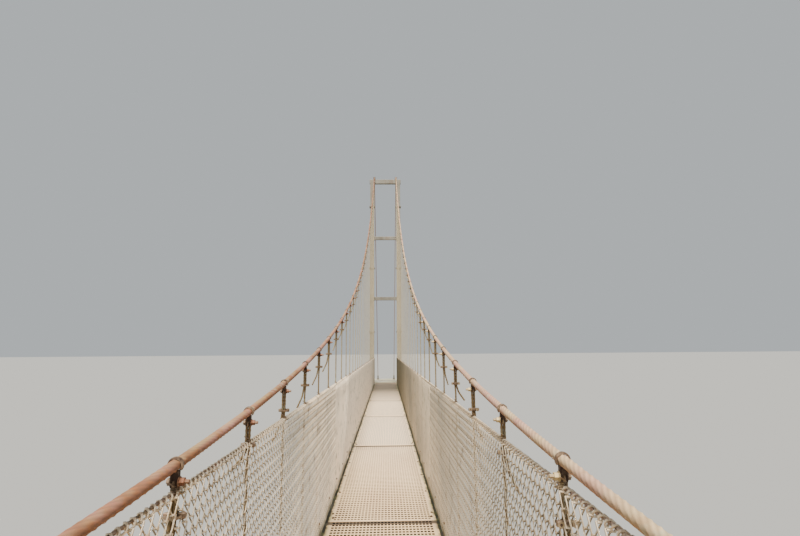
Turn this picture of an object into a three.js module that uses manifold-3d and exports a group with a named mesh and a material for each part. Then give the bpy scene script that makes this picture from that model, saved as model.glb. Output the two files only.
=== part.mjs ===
// Rope suspension footbridge, 1:2 scale model, in millimetres, +Z up.
// The walkway runs along Y. The origin is on the ground, under the middle of the span.
import * as THREE from 'three';
import { mergeVertices } from 'three/addons/utils/BufferGeometryUtils.js';
import Module from 'manifold-3d';

const wasm = await Module();
wasm.setup();

const MODEL_SCALE = 0.5;
const real = (millimetres) => millimetres * MODEL_SCALE;

// Gap between pieces that touch, and how far joined shapes run into each other
const TOUCH = 0.3;
const OVERLAP = 1;

// Span and bays
const BAY = real(750);
const HALF_BAYS = 34;
const SHEET_BAYS = 5;
const HALF_SHEETS = 6;

// Walkway
const DECK_TOP = real(1280);
const DECK_HALF_WIDTH = real(500);
const SHEET_THICKNESS = real(6);
const SHEET_JOINT_GAP = real(4);
const SHEET_SHIFT = real(136);
const SHEET_LENGTH = SHEET_BAYS * BAY;
const SHEET_UNDERSIDE = DECK_TOP - SHEET_THICKNESS;

// Floor frame: cross beams between two edge beams
const FRAME_DEPTH = real(50);
const FRAME_HALF_WIDTH = real(584);
const EDGE_BEAM_WIDTH = real(94);
const CROSS_BEAM_WIDTH = real(40);
const FRAME_TOP = SHEET_UNDERSIDE - TOUCH;

// Main cables: a parabola whose lowest point is at the middle of the span
const CABLE_X = real(540);
const CABLE_RADIUS = real(16);
const CABLE_LOW = DECK_TOP + real(1182);
const CABLE_RISE = 1.39e-5 / MODEL_SCALE;
const CABLE_SIDES = 8;

// Hangers and the top rope of the fence
const ROPE_X = CABLE_X;
const HANGER_WIDTH = real(12);
const TOP_ROPE_Z = DECK_TOP + real(1180);
const TOP_ROPE_HEIGHT = real(10);
const SHORTEST_STUB = 1;
const ROPE_DIP_END = 1.75 * BAY;
const ROPE_DIP_STEPS = 4;
const HANGER_GROUPS = [
  ['near', -33, -12],
  ['middle', -11, 11],
  ['far', 12, 33],
];

// Chain-link fences, shown as a coarse lattice
const FENCE_THICKNESS = real(5);
const FENCE_OUTER_X = ROPE_X - HANGER_WIDTH / 2 - TOUCH;
const FENCE_TOP = CABLE_LOW - CABLE_RADIUS - real(2);
const FENCE_WIRE = real(12);
const FENCE_ROLL_CELLS = 12;
const FENCE_ROLLS = ['near', 'middle', 'far'];
const FENCE_END_GAP = real(10);

// Towers
const SADDLE_RADIUS = real(500);
const SADDLE_START_Y = real(25210);
const SADDLE_WIDTH = real(72);
const SADDLE_CHEEK = real(8);
const SADDLE_CLEARANCE = 0.5;
const SADDLE_BED = real(90);
const SADDLE_SPREAD = THREE.MathUtils.degToRad(31);
const SADDLE_FOOT_HALF = real(120);
const SADDLE_STEPS = 10;
const LEG_SIZE = real(200);
const LEG_X = ROPE_X + HANGER_WIDTH / 2 + 2 * TOUCH + LEG_SIZE / 2;
const TOWER_BEAM_OVERHANG = real(30);
const FOOT_PLATE_SIZE = real(280);
const FOOT_PLATE_THICKNESS = real(24);
const BRACE_DEPTH = real(160);
const BRACE_WIDTH = real(120);
const BRACE_HEIGHTS = [real(4000), real(7000)];

// Abutments and anchor blocks
const ABUTMENT_HALF_WIDTH = real(1040);
const ABUTMENT_FRONT = real(24960);
const ABUTMENT_LENGTH = real(2040);
const END_PLATE_OVERLAP = real(800);
const BACKSTAY_ANGLE = THREE.MathUtils.degToRad(45);
const ANCHOR_BLOCK_HALF_WIDTH = real(860);
const ANCHOR_BLOCK_LENGTH = real(1600);
const ANCHOR_BLOCK_HEIGHT = real(840);
const ANCHOR_PLATE = [real(160), real(420), real(24)];
const SLEEVE_RADIUS = real(42);
const SLEEVE_LENGTH = real(300);
const SLEEVE_SIDES = 12;
const SLEEVE_START = real(60);
const CABLE_IN_SLEEVE = real(200);
const WEB_THICKNESS = real(20);

// Places worked out from the sizes above
const SADDLE_START_SLOPE = Math.atan(2 * CABLE_RISE * SADDLE_START_Y);
const TOWER_Y = SADDLE_START_Y + SADDLE_RADIUS * Math.sin(SADDLE_START_SLOPE);
const SADDLE_CENTRE_Z =
  parabolaHeight(SADDLE_START_Y) - SADDLE_RADIUS * Math.cos(SADDLE_START_SLOPE);
const TOWER_TOP = SADDLE_CENTRE_Z + SADDLE_RADIUS - CABLE_RADIUS - SADDLE_BED;
const ABUTMENT_TOP = FRAME_TOP;
const TOWER_FOOT = ABUTMENT_TOP + TOUCH;
const BACKSTAY_TOP = new THREE.Vector2(
  TOWER_Y + SADDLE_RADIUS * Math.sin(BACKSTAY_ANGLE),
  SADDLE_CENTRE_Z + SADDLE_RADIUS * Math.cos(BACKSTAY_ANGLE),
);
const ANCHOR_PLATE_TOP = ANCHOR_BLOCK_HEIGHT + TOUCH + ANCHOR_PLATE[2];
const ANCHOR_Y = BACKSTAY_TOP.x + (BACKSTAY_TOP.y - ANCHOR_PLATE_TOP) / Math.tan(BACKSTAY_ANGLE);
const FENCE_END = TOWER_Y - FOOT_PLATE_SIZE / 2 - FENCE_END_GAP;

// Materials
const GALVANISED = { color: 0xb9b0a2, roughness: 0.55, metalness: 0.85 };
const wireRope = new THREE.MeshStandardMaterial({ color: 0xb39a86, roughness: 0.7, metalness: 0.6 });
const meshWire = new THREE.MeshStandardMaterial({ color: 0xcbbfab, roughness: 0.6, metalness: 0.6 });
const deckSheet = new THREE.MeshStandardMaterial({ color: 0xe2d6c4, roughness: 0.6, metalness: 0.4 });
const frameSteel = new THREE.MeshStandardMaterial(GALVANISED);
const towerSteel = new THREE.MeshStandardMaterial({ color: 0x8b8579, roughness: 0.6, metalness: 0.7 });
const concrete = new THREE.MeshStandardMaterial({ color: 0xa39d91, roughness: 0.95, metalness: 0 });

// A line through given points, with one section at each of them
class Route extends THREE.Curve {
  constructor(points) {
    super();
    this.points = points;
  }

  getPoint(t, target = new THREE.Vector3()) {
    const last = this.points.length - 1;
    const place = THREE.MathUtils.clamp(t, 0, 1) * last;
    const index = Math.min(Math.floor(place), last - 1);
    return target.lerpVectors(this.points[index], this.points[index + 1], place - index);
  }

  getPointAt(u, target) {
    return this.getPoint(u, target);
  }

  getTangentAt(u, target) {
    return this.getTangent(u, target);
  }
}

function parabolaHeight(y) {
  return CABLE_LOW + CABLE_RISE * y * y;
}

function circle(radius, sides) {
  const points = [];
  for (let i = 0; i < sides; i += 1) {
    const angle = (2 * Math.PI * (i + 0.5)) / sides;
    points.push(new THREE.Vector2(radius * Math.cos(angle), radius * Math.sin(angle)));
  }
  return new THREE.Shape(points);
}

function rod(points, radius, sides) {
  return new THREE.ExtrudeGeometry(circle(radius, sides), {
    steps: points.length - 1,
    curveSegments: sides,
    extrudePath: new Route(points),
  });
}

// A shape drawn with Y across and Z up, given a thickness along X and centred on X = 0
function acrossX(shape, thickness) {
  const geometry = new THREE.ExtrudeGeometry(shape, { depth: thickness, bevelEnabled: false });
  geometry.rotateX(Math.PI / 2);
  geometry.rotateZ(Math.PI / 2);
  geometry.translate(-thickness / 2, 0, 0);
  return geometry;
}

// A shape drawn with X across and Y away, given a thickness along Z and centred on Z = 0
function upwards(shape, thickness) {
  const geometry = new THREE.ExtrudeGeometry(shape, { depth: thickness, bevelEnabled: false });
  geometry.translate(0, 0, -thickness / 2);
  return geometry;
}

function rectangle(halfAcross, halfUp) {
  return [
    [-halfAcross, -halfUp], [halfAcross, -halfUp], [halfAcross, halfUp], [-halfAcross, halfUp],
  ];
}

function box(sizeX, sizeY, sizeZ, x, y, z) {
  const geometry = new THREE.BoxGeometry(sizeX, sizeY, sizeZ);
  geometry.translate(x, y, z);
  return geometry;
}

function toSolid(geometry) {
  const bare = geometry.clone();
  bare.deleteAttribute('normal');
  bare.deleteAttribute('uv');
  const merged = mergeVertices(bare, 1e-4);
  return new wasm.Manifold(new wasm.Mesh({
    numProp: 3,
    vertProperties: new Float32Array(merged.attributes.position.array),
    triVerts: new Uint32Array(merged.index.array),
  }));
}

function toGeometry(solid) {
  const mesh = solid.getMesh();
  const geometry = new THREE.BufferGeometry();
  geometry.setAttribute('position', new THREE.BufferAttribute(mesh.vertProperties, 3));
  geometry.setIndex(new THREE.BufferAttribute(mesh.triVerts, 1));
  geometry.computeVertexNormals();
  return geometry;
}

function join(geometries) {
  return geometries.map(toSolid).reduce((whole, piece) => whole.add(piece));
}

function addNode(group, name, geometry, material, x = 0, y = 0, z = 0) {
  const mesh = new THREE.Mesh(geometry, material.clone());
  mesh.name = name;
  mesh.position.set(x, y, z);
  group.add(mesh);
}

// Centre line of a main cable from the middle of the span to the foot of the backstay
function halfCableLine() {
  const line = [];
  for (let bay = 0; bay * BAY < SADDLE_START_Y; bay += 1) {
    line.push([bay * BAY, parabolaHeight(bay * BAY)]);
  }
  return line.concat(saddleArc(-SADDLE_START_SLOPE, BACKSTAY_ANGLE), [cableFoot()]);
}

function saddleArc(from, to) {
  const line = [];
  for (let i = 0; i <= SADDLE_STEPS; i += 1) {
    const angle = from + ((to - from) * i) / SADDLE_STEPS;
    line.push([
      TOWER_Y + SADDLE_RADIUS * Math.sin(angle),
      SADDLE_CENTRE_Z + SADDLE_RADIUS * Math.cos(angle),
    ]);
  }
  return line;
}

function cableFoot() {
  const fromPlate = SLEEVE_START + SLEEVE_LENGTH - CABLE_IN_SLEEVE;
  return alongBackstay(fromPlate);
}

// A place on the backstay, measured up it from the anchor plate
function alongBackstay(distance) {
  return [
    ANCHOR_Y - distance * Math.cos(BACKSTAY_ANGLE),
    ANCHOR_PLATE_TOP + distance * Math.sin(BACKSTAY_ANGLE),
  ];
}

function toPoints(line) {
  return line.map(([y, z]) => new THREE.Vector3(0, y, z));
}

function mainCable() {
  const half = halfCableLine();
  const otherHalf = half.slice(1).map(([y, z]) => [-y, z]).reverse();
  return rod(toPoints(otherHalf.concat(half)), CABLE_RADIUS, CABLE_SIDES);
}

// Top of a hanger, just under the cable, which slopes there
function hangerTop(y) {
  const slope = 2 * CABLE_RISE * Math.abs(y);
  const toCable = (CABLE_RADIUS + TOUCH) * Math.hypot(1, slope);
  return parabolaHeight(y) - toCable - (HANGER_WIDTH / 2) * slope;
}

// Middle of the top rope, which dips under the main cable by the middle of the span
function topRopeHeight(y) {
  const underCable = parabolaHeight(y) - CABLE_RADIUS - TOUCH - TOP_ROPE_HEIGHT / 2;
  return Math.min(TOP_ROPE_Z, underCable);
}

// A group of hangers and the stretch of top rope that ties them together
function hangerGroup(first, last) {
  const isFirst = first === -HALF_BAYS + 1;
  const isLast = last === HALF_BAYS - 1;
  const start = isFirst ? -TOWER_Y : (first - 0.5) * BAY + TOUCH / 2;
  const end = isLast ? TOWER_Y : (last + 0.5) * BAY - TOUCH / 2;
  const half = HANGER_WIDTH / 2;
  const bottom = (y) => [y, topRopeHeight(y) - TOP_ROPE_HEIGHT / 2];
  const ropeTop = (y) => [y, topRopeHeight(y) + TOP_ROPE_HEIGHT / 2];
  const foot = FRAME_TOP + TOUCH;
  const under = [];
  const over = [];
  for (let bay = first; bay <= last; bay += 1) {
    const y = bay * BAY;
    under.push(bottom(y - half), [y - half, foot], [y + half, foot], bottom(y + half));
    const top = hangerTop(y);
    if (top > ropeTop(y)[1] + SHORTEST_STUB) {
      over.push(ropeTop(y - half), [y - half, top], [y + half, top], ropeTop(y + half));
    } else {
      over.push(ropeTop(y));
    }
    for (let step = 1; step < ROPE_DIP_STEPS; step += 1) {
      const between = y + (step * BAY) / ROPE_DIP_STEPS;
      if (Math.abs(between) <= ROPE_DIP_END) {
        under.push(bottom(between));
        over.push(ropeTop(between));
      }
    }
  }
  const outline = [bottom(start), ...under, bottom(end), ropeTop(end)];
  outline.push(...over.reverse(), ropeTop(start));
  return acrossX(outlineShape(outline), HANGER_WIDTH);
}

function outlineShape(points) {
  return new THREE.Shape(points.map(([across, up]) => new THREE.Vector2(across, up)));
}

// A plate with holes right through it; shapeToGeometry gives a shape a thickness
function pierce(outline, holes, shapeToGeometry, thickness) {
  const plate = toSolid(shapeToGeometry(outlineShape(outline), thickness));
  const cutters = holes.map((points) => toSolid(shapeToGeometry(outlineShape(points), 3 * thickness)));
  return toGeometry(cutters.reduce((left, cutter) => left.subtract(cutter), plate));
}

// One roll of mesh: a row of diamonds, with triangles between them along both selvedges
function fenceRoll() {
  const length = (2 * FENCE_END) / FENCE_ROLLS.length - TOUCH;
  const height = FENCE_TOP - FRAME_TOP - TOUCH;
  const halfCell = length / FENCE_ROLL_CELLS / 2;
  const halfHeight = height / 2;
  const inside = halfHeight - FENCE_WIRE;
  const barHalf = (FENCE_WIRE / 2) * Math.hypot(halfCell, inside);
  const reach = halfCell - barHalf / inside;
  const rise = inside - barHalf / halfCell;
  const border = FENCE_WIRE / 2;
  const borderTip = (inside * border + barHalf) / halfCell;
  const holes = [];
  for (let i = 0; i < FENCE_ROLL_CELLS; i += 1) {
    const middle = -length / 2 + (2 * i + 1) * halfCell;
    holes.push([[middle - reach, 0], [middle, -rise], [middle + reach, 0], [middle, rise]]);
  }
  for (const edge of [-1, 1]) {
    for (let i = 1; i < FENCE_ROLL_CELLS; i += 1) {
      const crossing = -length / 2 + 2 * i * halfCell;
      holes.push([
        [crossing - reach, edge * inside], [crossing + reach, edge * inside],
        [crossing, edge * (inside - rise)],
      ]);
    }
    for (const end of [-1, 1]) {
      const crossing = (end * length) / 2;
      holes.push([
        [crossing - end * border, edge * inside], [crossing - end * reach, edge * inside],
        [crossing - end * border, edge * borderTip],
      ]);
    }
  }
  return pierce(rectangle(length / 2, halfHeight), holes, acrossX, FENCE_THICKNESS);
}

function floorFrame() {
  const halfLength = (HALF_BAYS - 1) * BAY + CROSS_BEAM_WIDTH / 2;
  const holes = [];
  const inside = FRAME_HALF_WIDTH - EDGE_BEAM_WIDTH;
  for (let bay = -HALF_BAYS + 1; bay < HALF_BAYS - 1; bay += 1) {
    const from = bay * BAY + CROSS_BEAM_WIDTH / 2;
    const to = (bay + 1) * BAY - CROSS_BEAM_WIDTH / 2;
    holes.push([[-inside, from], [inside, from], [inside, to], [-inside, to]]);
  }
  return pierce(rectangle(FRAME_HALF_WIDTH, halfLength), holes, upwards, FRAME_DEPTH);
}

function tower() {
  const beamTop = TOWER_TOP;
  const beamBottom = beamTop - LEG_SIZE;
  const legBottom = TOWER_FOOT + FOOT_PLATE_THICKNESS;
  const pieces = [];
  for (const side of [-1, 1]) {
    const x = side * LEG_X;
    pieces.push(box(FOOT_PLATE_SIZE, FOOT_PLATE_SIZE, FOOT_PLATE_THICKNESS,
      x, 0, TOWER_FOOT + FOOT_PLATE_THICKNESS / 2));
    pieces.push(box(LEG_SIZE, LEG_SIZE, beamBottom - legBottom + 2 * OVERLAP,
      x, 0, (beamBottom + legBottom) / 2));
  }
  for (const height of BRACE_HEIGHTS) {
    pieces.push(box(2 * LEG_X, BRACE_WIDTH, BRACE_DEPTH, 0, 0, DECK_TOP + height));
  }
  const beamLength = 2 * LEG_X + LEG_SIZE + 2 * TOWER_BEAM_OVERHANG;
  pieces.push(box(beamLength, LEG_SIZE, LEG_SIZE, 0, 0, beamTop - LEG_SIZE / 2));
  return toGeometry(join(pieces));
}

// Grooved bed on the tower top; its groove follows the cable with a small clearance
function saddle() {
  const outline = [];
  const bedRadius = SADDLE_RADIUS + SADDLE_CHEEK;
  for (let i = 0; i <= SADDLE_STEPS; i += 1) {
    const angle = SADDLE_SPREAD * (1 - (2 * i) / SADDLE_STEPS);
    outline.push(new THREE.Vector2(
      bedRadius * Math.sin(angle),
      SADDLE_CENTRE_Z + bedRadius * Math.cos(angle),
    ));
  }
  const foot = TOWER_TOP + TOUCH;
  outline.push(new THREE.Vector2(-SADDLE_FOOT_HALF, foot));
  outline.push(new THREE.Vector2(SADDLE_FOOT_HALF, foot));
  const bed = acrossX(new THREE.Shape(outline), SADDLE_WIDTH);
  const line = saddleArc(-SADDLE_START_SLOPE, BACKSTAY_ANGLE).map(([y, z]) => [y - TOWER_Y, z]);
  const groove = rod(toPoints(line), CABLE_RADIUS + SADDLE_CLEARANCE, CABLE_SIDES);
  return toGeometry(toSolid(bed).subtract(toSolid(groove)));
}

// Plate with a leaning sleeve that the cable runs into, and a web under the sleeve
function cableAnchor() {
  const [plateX, plateY, plateZ] = ANCHOR_PLATE;
  const place = (distance) => alongBackstay(distance).map((value, i) => value - (i ? 0 : ANCHOR_Y));
  const plate = box(plateX, plateY, plateZ, 0, -plateY / 4, ANCHOR_PLATE_TOP - plateZ / 2);
  const sleeve = rod(toPoints([place(0), place(SLEEVE_START + SLEEVE_LENGTH)]),
    SLEEVE_RADIUS, SLEEVE_SIDES);
  const bore = rod(
    toPoints([
      place(SLEEVE_START + SLEEVE_LENGTH - CABLE_IN_SLEEVE - SADDLE_CLEARANCE),
      place(2 * SLEEVE_LENGTH),
    ]),
    CABLE_RADIUS + SADDLE_CLEARANCE, CABLE_SIDES);
  const end = place(SLEEVE_LENGTH);
  const web = new THREE.Shape([
    new THREE.Vector2(end[0], ANCHOR_PLATE_TOP - OVERLAP),
    new THREE.Vector2(end[0], end[1]),
    new THREE.Vector2(SLEEVE_RADIUS, ANCHOR_PLATE_TOP - OVERLAP),
  ]);
  const body = join([plate, sleeve, acrossX(web, WEB_THICKNESS)]);
  const below = box(plateX, plateY, plateY, 0, 0, ANCHOR_BLOCK_HEIGHT + TOUCH - plateY / 2);
  return toGeometry(body.subtract(toSolid(bore)).subtract(toSolid(below)));
}

function addDeck(group) {
  for (let i = -HALF_SHEETS; i <= HALF_SHEETS; i += 1) {
    const number = String(i + HALF_SHEETS + 1).padStart(2, '0');
    const sheet = new THREE.BoxGeometry(
      2 * DECK_HALF_WIDTH, SHEET_LENGTH - SHEET_JOINT_GAP, SHEET_THICKNESS);
    addNode(group, `deck_sheet_${number}`, sheet, deckSheet,
      0, i * SHEET_LENGTH + SHEET_SHIFT, DECK_TOP - SHEET_THICKNESS / 2);
  }
  for (const [end, side] of [['near', -1], ['far', 1]]) {
    const start = (HALF_SHEETS + 0.5) * SHEET_LENGTH + side * SHEET_SHIFT + SHEET_JOINT_GAP / 2;
    const length = ABUTMENT_FRONT + END_PLATE_OVERLAP - start;
    const plate = new THREE.BoxGeometry(2 * DECK_HALF_WIDTH, length, SHEET_THICKNESS);
    addNode(group, `end_plate_${end}`, plate, deckSheet,
      0, side * (start + length / 2), DECK_TOP - SHEET_THICKNESS / 2);
  }
  addNode(group, 'floor_frame', floorFrame(), frameSteel, 0, 0, FRAME_TOP - FRAME_DEPTH / 2);
}

function addSides(group) {
  for (const [hand, side] of [['left', -1], ['right', 1]]) {
    addNode(group, `main_cable_${hand}`, mainCable(), wireRope, side * CABLE_X);
    for (const [part, first, last] of HANGER_GROUPS) {
      addNode(group, `hangers_${hand}_${part}`, hangerGroup(first, last), wireRope, side * ROPE_X);
    }
    FENCE_ROLLS.forEach((part, i) => {
      const y = ((2 * FENCE_END) / FENCE_ROLLS.length) * (i - (FENCE_ROLLS.length - 1) / 2);
      const z = (FENCE_TOP + FRAME_TOP + TOUCH) / 2;
      addNode(group, `fence_${hand}_${part}`, fenceRoll(), meshWire,
        side * (FENCE_OUTER_X - FENCE_THICKNESS / 2), y, z);
    });
  }
}

function addEnds(group) {
  for (const [end, turn] of [['far', 0], ['near', Math.PI]]) {
    const half = new THREE.Group();
    half.rotation.z = turn;
    addNode(half, `abutment_${end}`,
      new THREE.BoxGeometry(2 * ABUTMENT_HALF_WIDTH, ABUTMENT_LENGTH, ABUTMENT_TOP),
      concrete, 0, ABUTMENT_FRONT + ABUTMENT_LENGTH / 2, ABUTMENT_TOP / 2);
    addNode(half, `tower_${end}`, tower(), towerSteel, 0, TOWER_Y);
    addNode(half, `anchor_block_${end}`,
      new THREE.BoxGeometry(2 * ANCHOR_BLOCK_HALF_WIDTH, ANCHOR_BLOCK_LENGTH, ANCHOR_BLOCK_HEIGHT),
      concrete, 0, ANCHOR_Y, ANCHOR_BLOCK_HEIGHT / 2);
    for (const side of [-1, 1]) {
      const hand = side * Math.cos(turn) < 0 ? 'left' : 'right';
      addNode(half, `saddle_${end}_${hand}`, saddle(), towerSteel, side * CABLE_X, TOWER_Y);
      addNode(half, `cable_anchor_${end}_${hand}`, cableAnchor(), towerSteel,
        side * CABLE_X, ANCHOR_Y);
    }
    group.add(half);
  }
}

const footbridge = new THREE.Group();
footbridge.name = 'footbridge';
addDeck(footbridge);
addSides(footbridge);
addEnds(footbridge);

export default footbridge;
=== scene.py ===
"""Rope suspension footbridge: the looks of a 1:2 scale model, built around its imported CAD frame."""

import math
import random
from functools import partial

import bmesh
import bpy
from bpy.props import FloatProperty, FloatVectorProperty, IntProperty, PointerProperty
from mathutils import Euler, Matrix, Vector


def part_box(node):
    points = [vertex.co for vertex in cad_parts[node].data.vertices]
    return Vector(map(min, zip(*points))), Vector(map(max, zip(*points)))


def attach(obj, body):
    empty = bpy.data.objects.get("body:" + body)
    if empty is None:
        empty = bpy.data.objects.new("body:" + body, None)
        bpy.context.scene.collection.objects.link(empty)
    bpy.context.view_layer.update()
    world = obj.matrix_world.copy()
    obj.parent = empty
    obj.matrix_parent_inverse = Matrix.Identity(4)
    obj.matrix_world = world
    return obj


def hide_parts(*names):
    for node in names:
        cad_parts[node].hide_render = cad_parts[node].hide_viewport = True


bl_info = {
    "name": "Rope suspension footbridge",
    "version": (1, 0, 0),
    "blender": (4, 5, 0),
    "location": "3D View > Sidebar > Footbridge",
    "description": "Builds a weathered wire rope footbridge around its frame",
    "category": "Add Mesh",
}

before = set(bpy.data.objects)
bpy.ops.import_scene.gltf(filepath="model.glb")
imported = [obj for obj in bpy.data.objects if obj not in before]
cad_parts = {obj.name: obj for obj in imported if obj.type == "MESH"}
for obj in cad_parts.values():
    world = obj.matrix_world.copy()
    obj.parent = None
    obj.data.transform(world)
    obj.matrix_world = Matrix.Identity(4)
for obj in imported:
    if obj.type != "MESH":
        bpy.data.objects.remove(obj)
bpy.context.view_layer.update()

MODEL_SCALE = 0.5
HANDS = {"left": -1, "right": 1}
ENDS = {"near": -1, "far": 1}
PARTS = ("near", "middle", "far")
BOTH = (-1, 1)
UPWARD, ACROSS, ALONG = (0, 0, 1), (1, 0, 0), (0, 1, 0)
FULL_TURN = 2 * math.pi


def real(millimetres):
    """A size of the real bridge in millimetres, as metres of this model."""
    return millimetres * MODEL_SCALE / 1000


def linear(colour):
    """An sRGB hex colour as linear red, green, blue and alpha."""
    channels = [int(colour[i:i + 2], 16) / 255 for i in (1, 3, 5)]
    return *(c / 12.92 if c <= 0.04045 else ((c + 0.055) / 1.055) ** 2.4 for c in channels), 1.0


DECK_LOW, DECK_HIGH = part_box("deck_sheet_07")
FRAME_LOW, FRAME_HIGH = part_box("floor_frame")
DECK_TOP = DECK_HIGH.z
SHEET_MIDDLE = (DECK_LOW.y + DECK_HIGH.y) / 2
SHEET_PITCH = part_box("deck_sheet_08")[0].y - DECK_LOW.y
SHEET_NUMBERS = range(1, 14)
# A walker at mid-span can see through the slots of these sheets, so theirs are cut
CUT_SHEETS = range(5, 10)
SLOT_SHIFT = real(20)
BEAM_INNER = real(502)

# Hangers are counted from mid-span, and the last one each way is this
HALF_HANGERS = 33
# Up to these hangers, ropes and mesh are close enough for their strands and coils to be modelled
ROPE_STRANDS_END = 8
HANGER_STRANDS_END = 7
COILS_END = 9

TOP_ROPE_Z = DECK_TOP + real(1180)
TOP_ROPE_END = real(25480)
TOP_ROPE_UNDER_CABLE = real(22.2)
MESH_BOTTOM = DECK_TOP + real(14)
MESH_TOP = TOP_ROPE_Z - real(6)
# The mesh hangs racked, its foot pulled towards the banks
RACKING = 0.22

# The line of the main cables: a parabola, an arc over each saddle, and a straight backstay
CABLE_X = real(540)
CABLE_LOW = real(2462)
CABLE_RISE = 0.0278
SADDLE_START_Y = real(25210)
SADDLE_RADIUS = real(500)
SADDLE_START_SLOPE = math.atan(2 * CABLE_RISE * SADDLE_START_Y)
SADDLE_STEPS = 14
BACKSTAY_ANGLE = math.radians(45)
# In metres of the model, down to the cable's anchor
BACKSTAY_LENGTH = 7.2563
BACKSTAY_STEPS = 12
TOWER_Y = SADDLE_START_Y + SADDLE_RADIUS * math.sin(SADDLE_START_SLOPE)

KEEPER_ANGLE = math.radians(16)
LEG_X = real(647.2)
LEG_HALF = real(100)
FOOT_BOLT_REACH = real(118)
# Heights above the deck
SPLICE_HEIGHTS = [real(2400), real(5500), real(8600)]
BRACE_HEIGHTS = [real(4000), real(7000)]


def length_of(label, description, millimetres):
    return FloatProperty(
        name=label, description=description, default=real(millimetres), unit="LENGTH")


def colour_of(label, description, colour):
    return FloatVectorProperty(
        name=label, description=description, subtype="COLOR", size=4, min=0, max=1,
        default=linear(colour))


class BridgeSizes(bpy.types.PropertyGroup):
    """Sizes of the bridge's repeated and laid parts"""
    bay: length_of("Bay", "Distance between hangers", 750)
    main_rope_radius: length_of("Main rope radius", "Half the thickness of a main rope", 16.4)
    main_rope_lay: length_of("Main rope lay", "Length in which a strand goes once round", 210)
    strands: IntProperty(name="Strands", description="Strands in each rope", default=6)
    hanger_radius: length_of("Hanger radius", "Half the thickness of a hanger rope", 7)
    top_rope_radius: length_of("Top rope radius", "Half the thickness of the top rope", 6.5)
    mesh_half_width: length_of("Mesh half width", "Half a diamond of the mesh, along", 25)
    mesh_half_height: length_of("Mesh half height", "Half a diamond of the mesh, up", 42)
    mesh_wire_radius: length_of("Mesh wire radius", "Half the thickness of the mesh wire", 3.4)
    mesh_depth: length_of("Mesh depth", "From the middle of the mesh to its front wires", 5.2)
    mesh_wave: length_of("Mesh wave", "How far the mesh bellies in and out", 14)
    hole_width: length_of("Hole width", "Width of a perforation", 23)
    hole_length: length_of("Hole length", "Length of a perforation along the walkway", 38)
    hole_pitch_across: length_of("Hole pitch across", "Distance between holes, across", 31.5)
    hole_pitch_along: length_of("Hole pitch along", "Distance between holes, along", 63)
    holes_across: IntProperty(name="Holes across", description="Holes in a row", default=29)
    holes_along: IntProperty(name="Holes along", description="Rows of holes in a sheet", default=59)
    slot_collar: length_of("Slot collar", "Depth of a slot's edge under the sheet", 12)


class BridgeColours(bpy.types.PropertyGroup):
    """Colours of the bridge's finishes"""
    deck: colour_of("Deck", "Weathered sheet", "#FAD7A2")
    deck_dirt: colour_of("Deck dirt", "Red earth trodden into the sheet", "#B98F74")
    stain: colour_of("Green stain", "Algae on steel and concrete", "#7C8046")
    zinc: colour_of("Zinc", "Old galvanised wire", "#FAE3C0")
    cream_rope: colour_of("Rope", "Old galvanised rope", "#CFB58C")
    pink_oxide: colour_of("Pink oxide", "Pinkish oxide on the ropes", "#C48F88")
    rust: colour_of("Rust", "Rust through the zinc", "#9A6238")
    dark_rust: colour_of("Dark rust", "Rust on forged fittings", "#3A261A")
    tower: colour_of("Tower steel", "Weathered galvanised steel", "#8F8A7D")
    concrete: colour_of("Concrete", "Weathered cast concrete", "#A8A296")
    floor: colour_of("Floor", "Studio floor", "#838482")


def sizes_of(context):
    return context.scene.bridge_sizes, context.scene.bridge_colours


# Building


def add_node(tree, kind, *values, **settings):
    """Adds a node, makes its settings, and fills its sockets with values or links.

    The values are one dict with the sockets' names, or stand in the order of the sockets. A list
    links several things to one socket, and a hex colour is turned to linear."""
    node = tree.nodes.new(kind)
    for name, value in settings.items():
        setattr(node, name, value)
    sockets = [socket for socket in node.inputs if socket.enabled]
    if values and isinstance(values[0], dict):
        pairs = [(next(s for s in sockets if s.name == name), value)
                 for name, value in values[0].items()]
    else:
        pairs = zip(sockets, values)
    for socket, value in pairs:
        for item in value if isinstance(value, list) else [value]:
            if isinstance(item, bpy.types.Node):
                item = next(s for s in item.outputs if s.enabled)
            if isinstance(item, bpy.types.NodeSocket):
                tree.links.new(item, socket)
            else:
                is_hex = isinstance(item, str) and item.startswith("#")
                socket.default_value = linear(item) if is_hex else item
    return node


def new_tree(name, floats, **inputs):
    """A geometry tree with named inputs, its adding function and its input sockets."""
    tree = bpy.data.node_groups.new(name, "GeometryNodeTree")
    kinds = {"Geometry": "Geometry", **dict.fromkeys(floats.split(), "Float"), **inputs,
             "Material": "Material"}
    for label, kind in kinds.items():
        tree.interface.new_socket(label, in_out="INPUT", socket_type="NodeSocket" + kind)
    tree.interface.new_socket("Geometry", in_out="OUTPUT", socket_type="NodeSocketGeometry")
    source = tree.nodes.new("NodeGroupInput")
    return tree, partial(add_node, tree), source.outputs


def end_tree(tree, geometry, material):
    realised = add_node(tree, "GeometryNodeRealizeInstances", {"Geometry": geometry})
    finished = add_node(
        tree, "GeometryNodeSetMaterial", {"Geometry": realised, "Material": material})
    add_node(tree, "NodeGroupOutput", {"Geometry": finished})
    return tree


def new_piece(name, mesh):
    piece = bpy.data.objects.new(name, mesh)
    bpy.context.scene.collection.objects.link(piece)
    return piece


def grow(name, tree, mesh=None, **values):
    """Runs a geometry tree on a mesh and leaves its result as a plain mesh."""
    piece = new_piece(name, mesh or bpy.data.meshes.new(name))
    modifier = piece.modifiers.new("Grow", "NODES")
    modifier.node_group = tree
    for item in tree.interface.items_tree:
        if item.item_type == "SOCKET" and item.in_out == "INPUT" and item.name in values:
            modifier[item.identifier] = values[item.name]
    return settle(piece)


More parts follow.
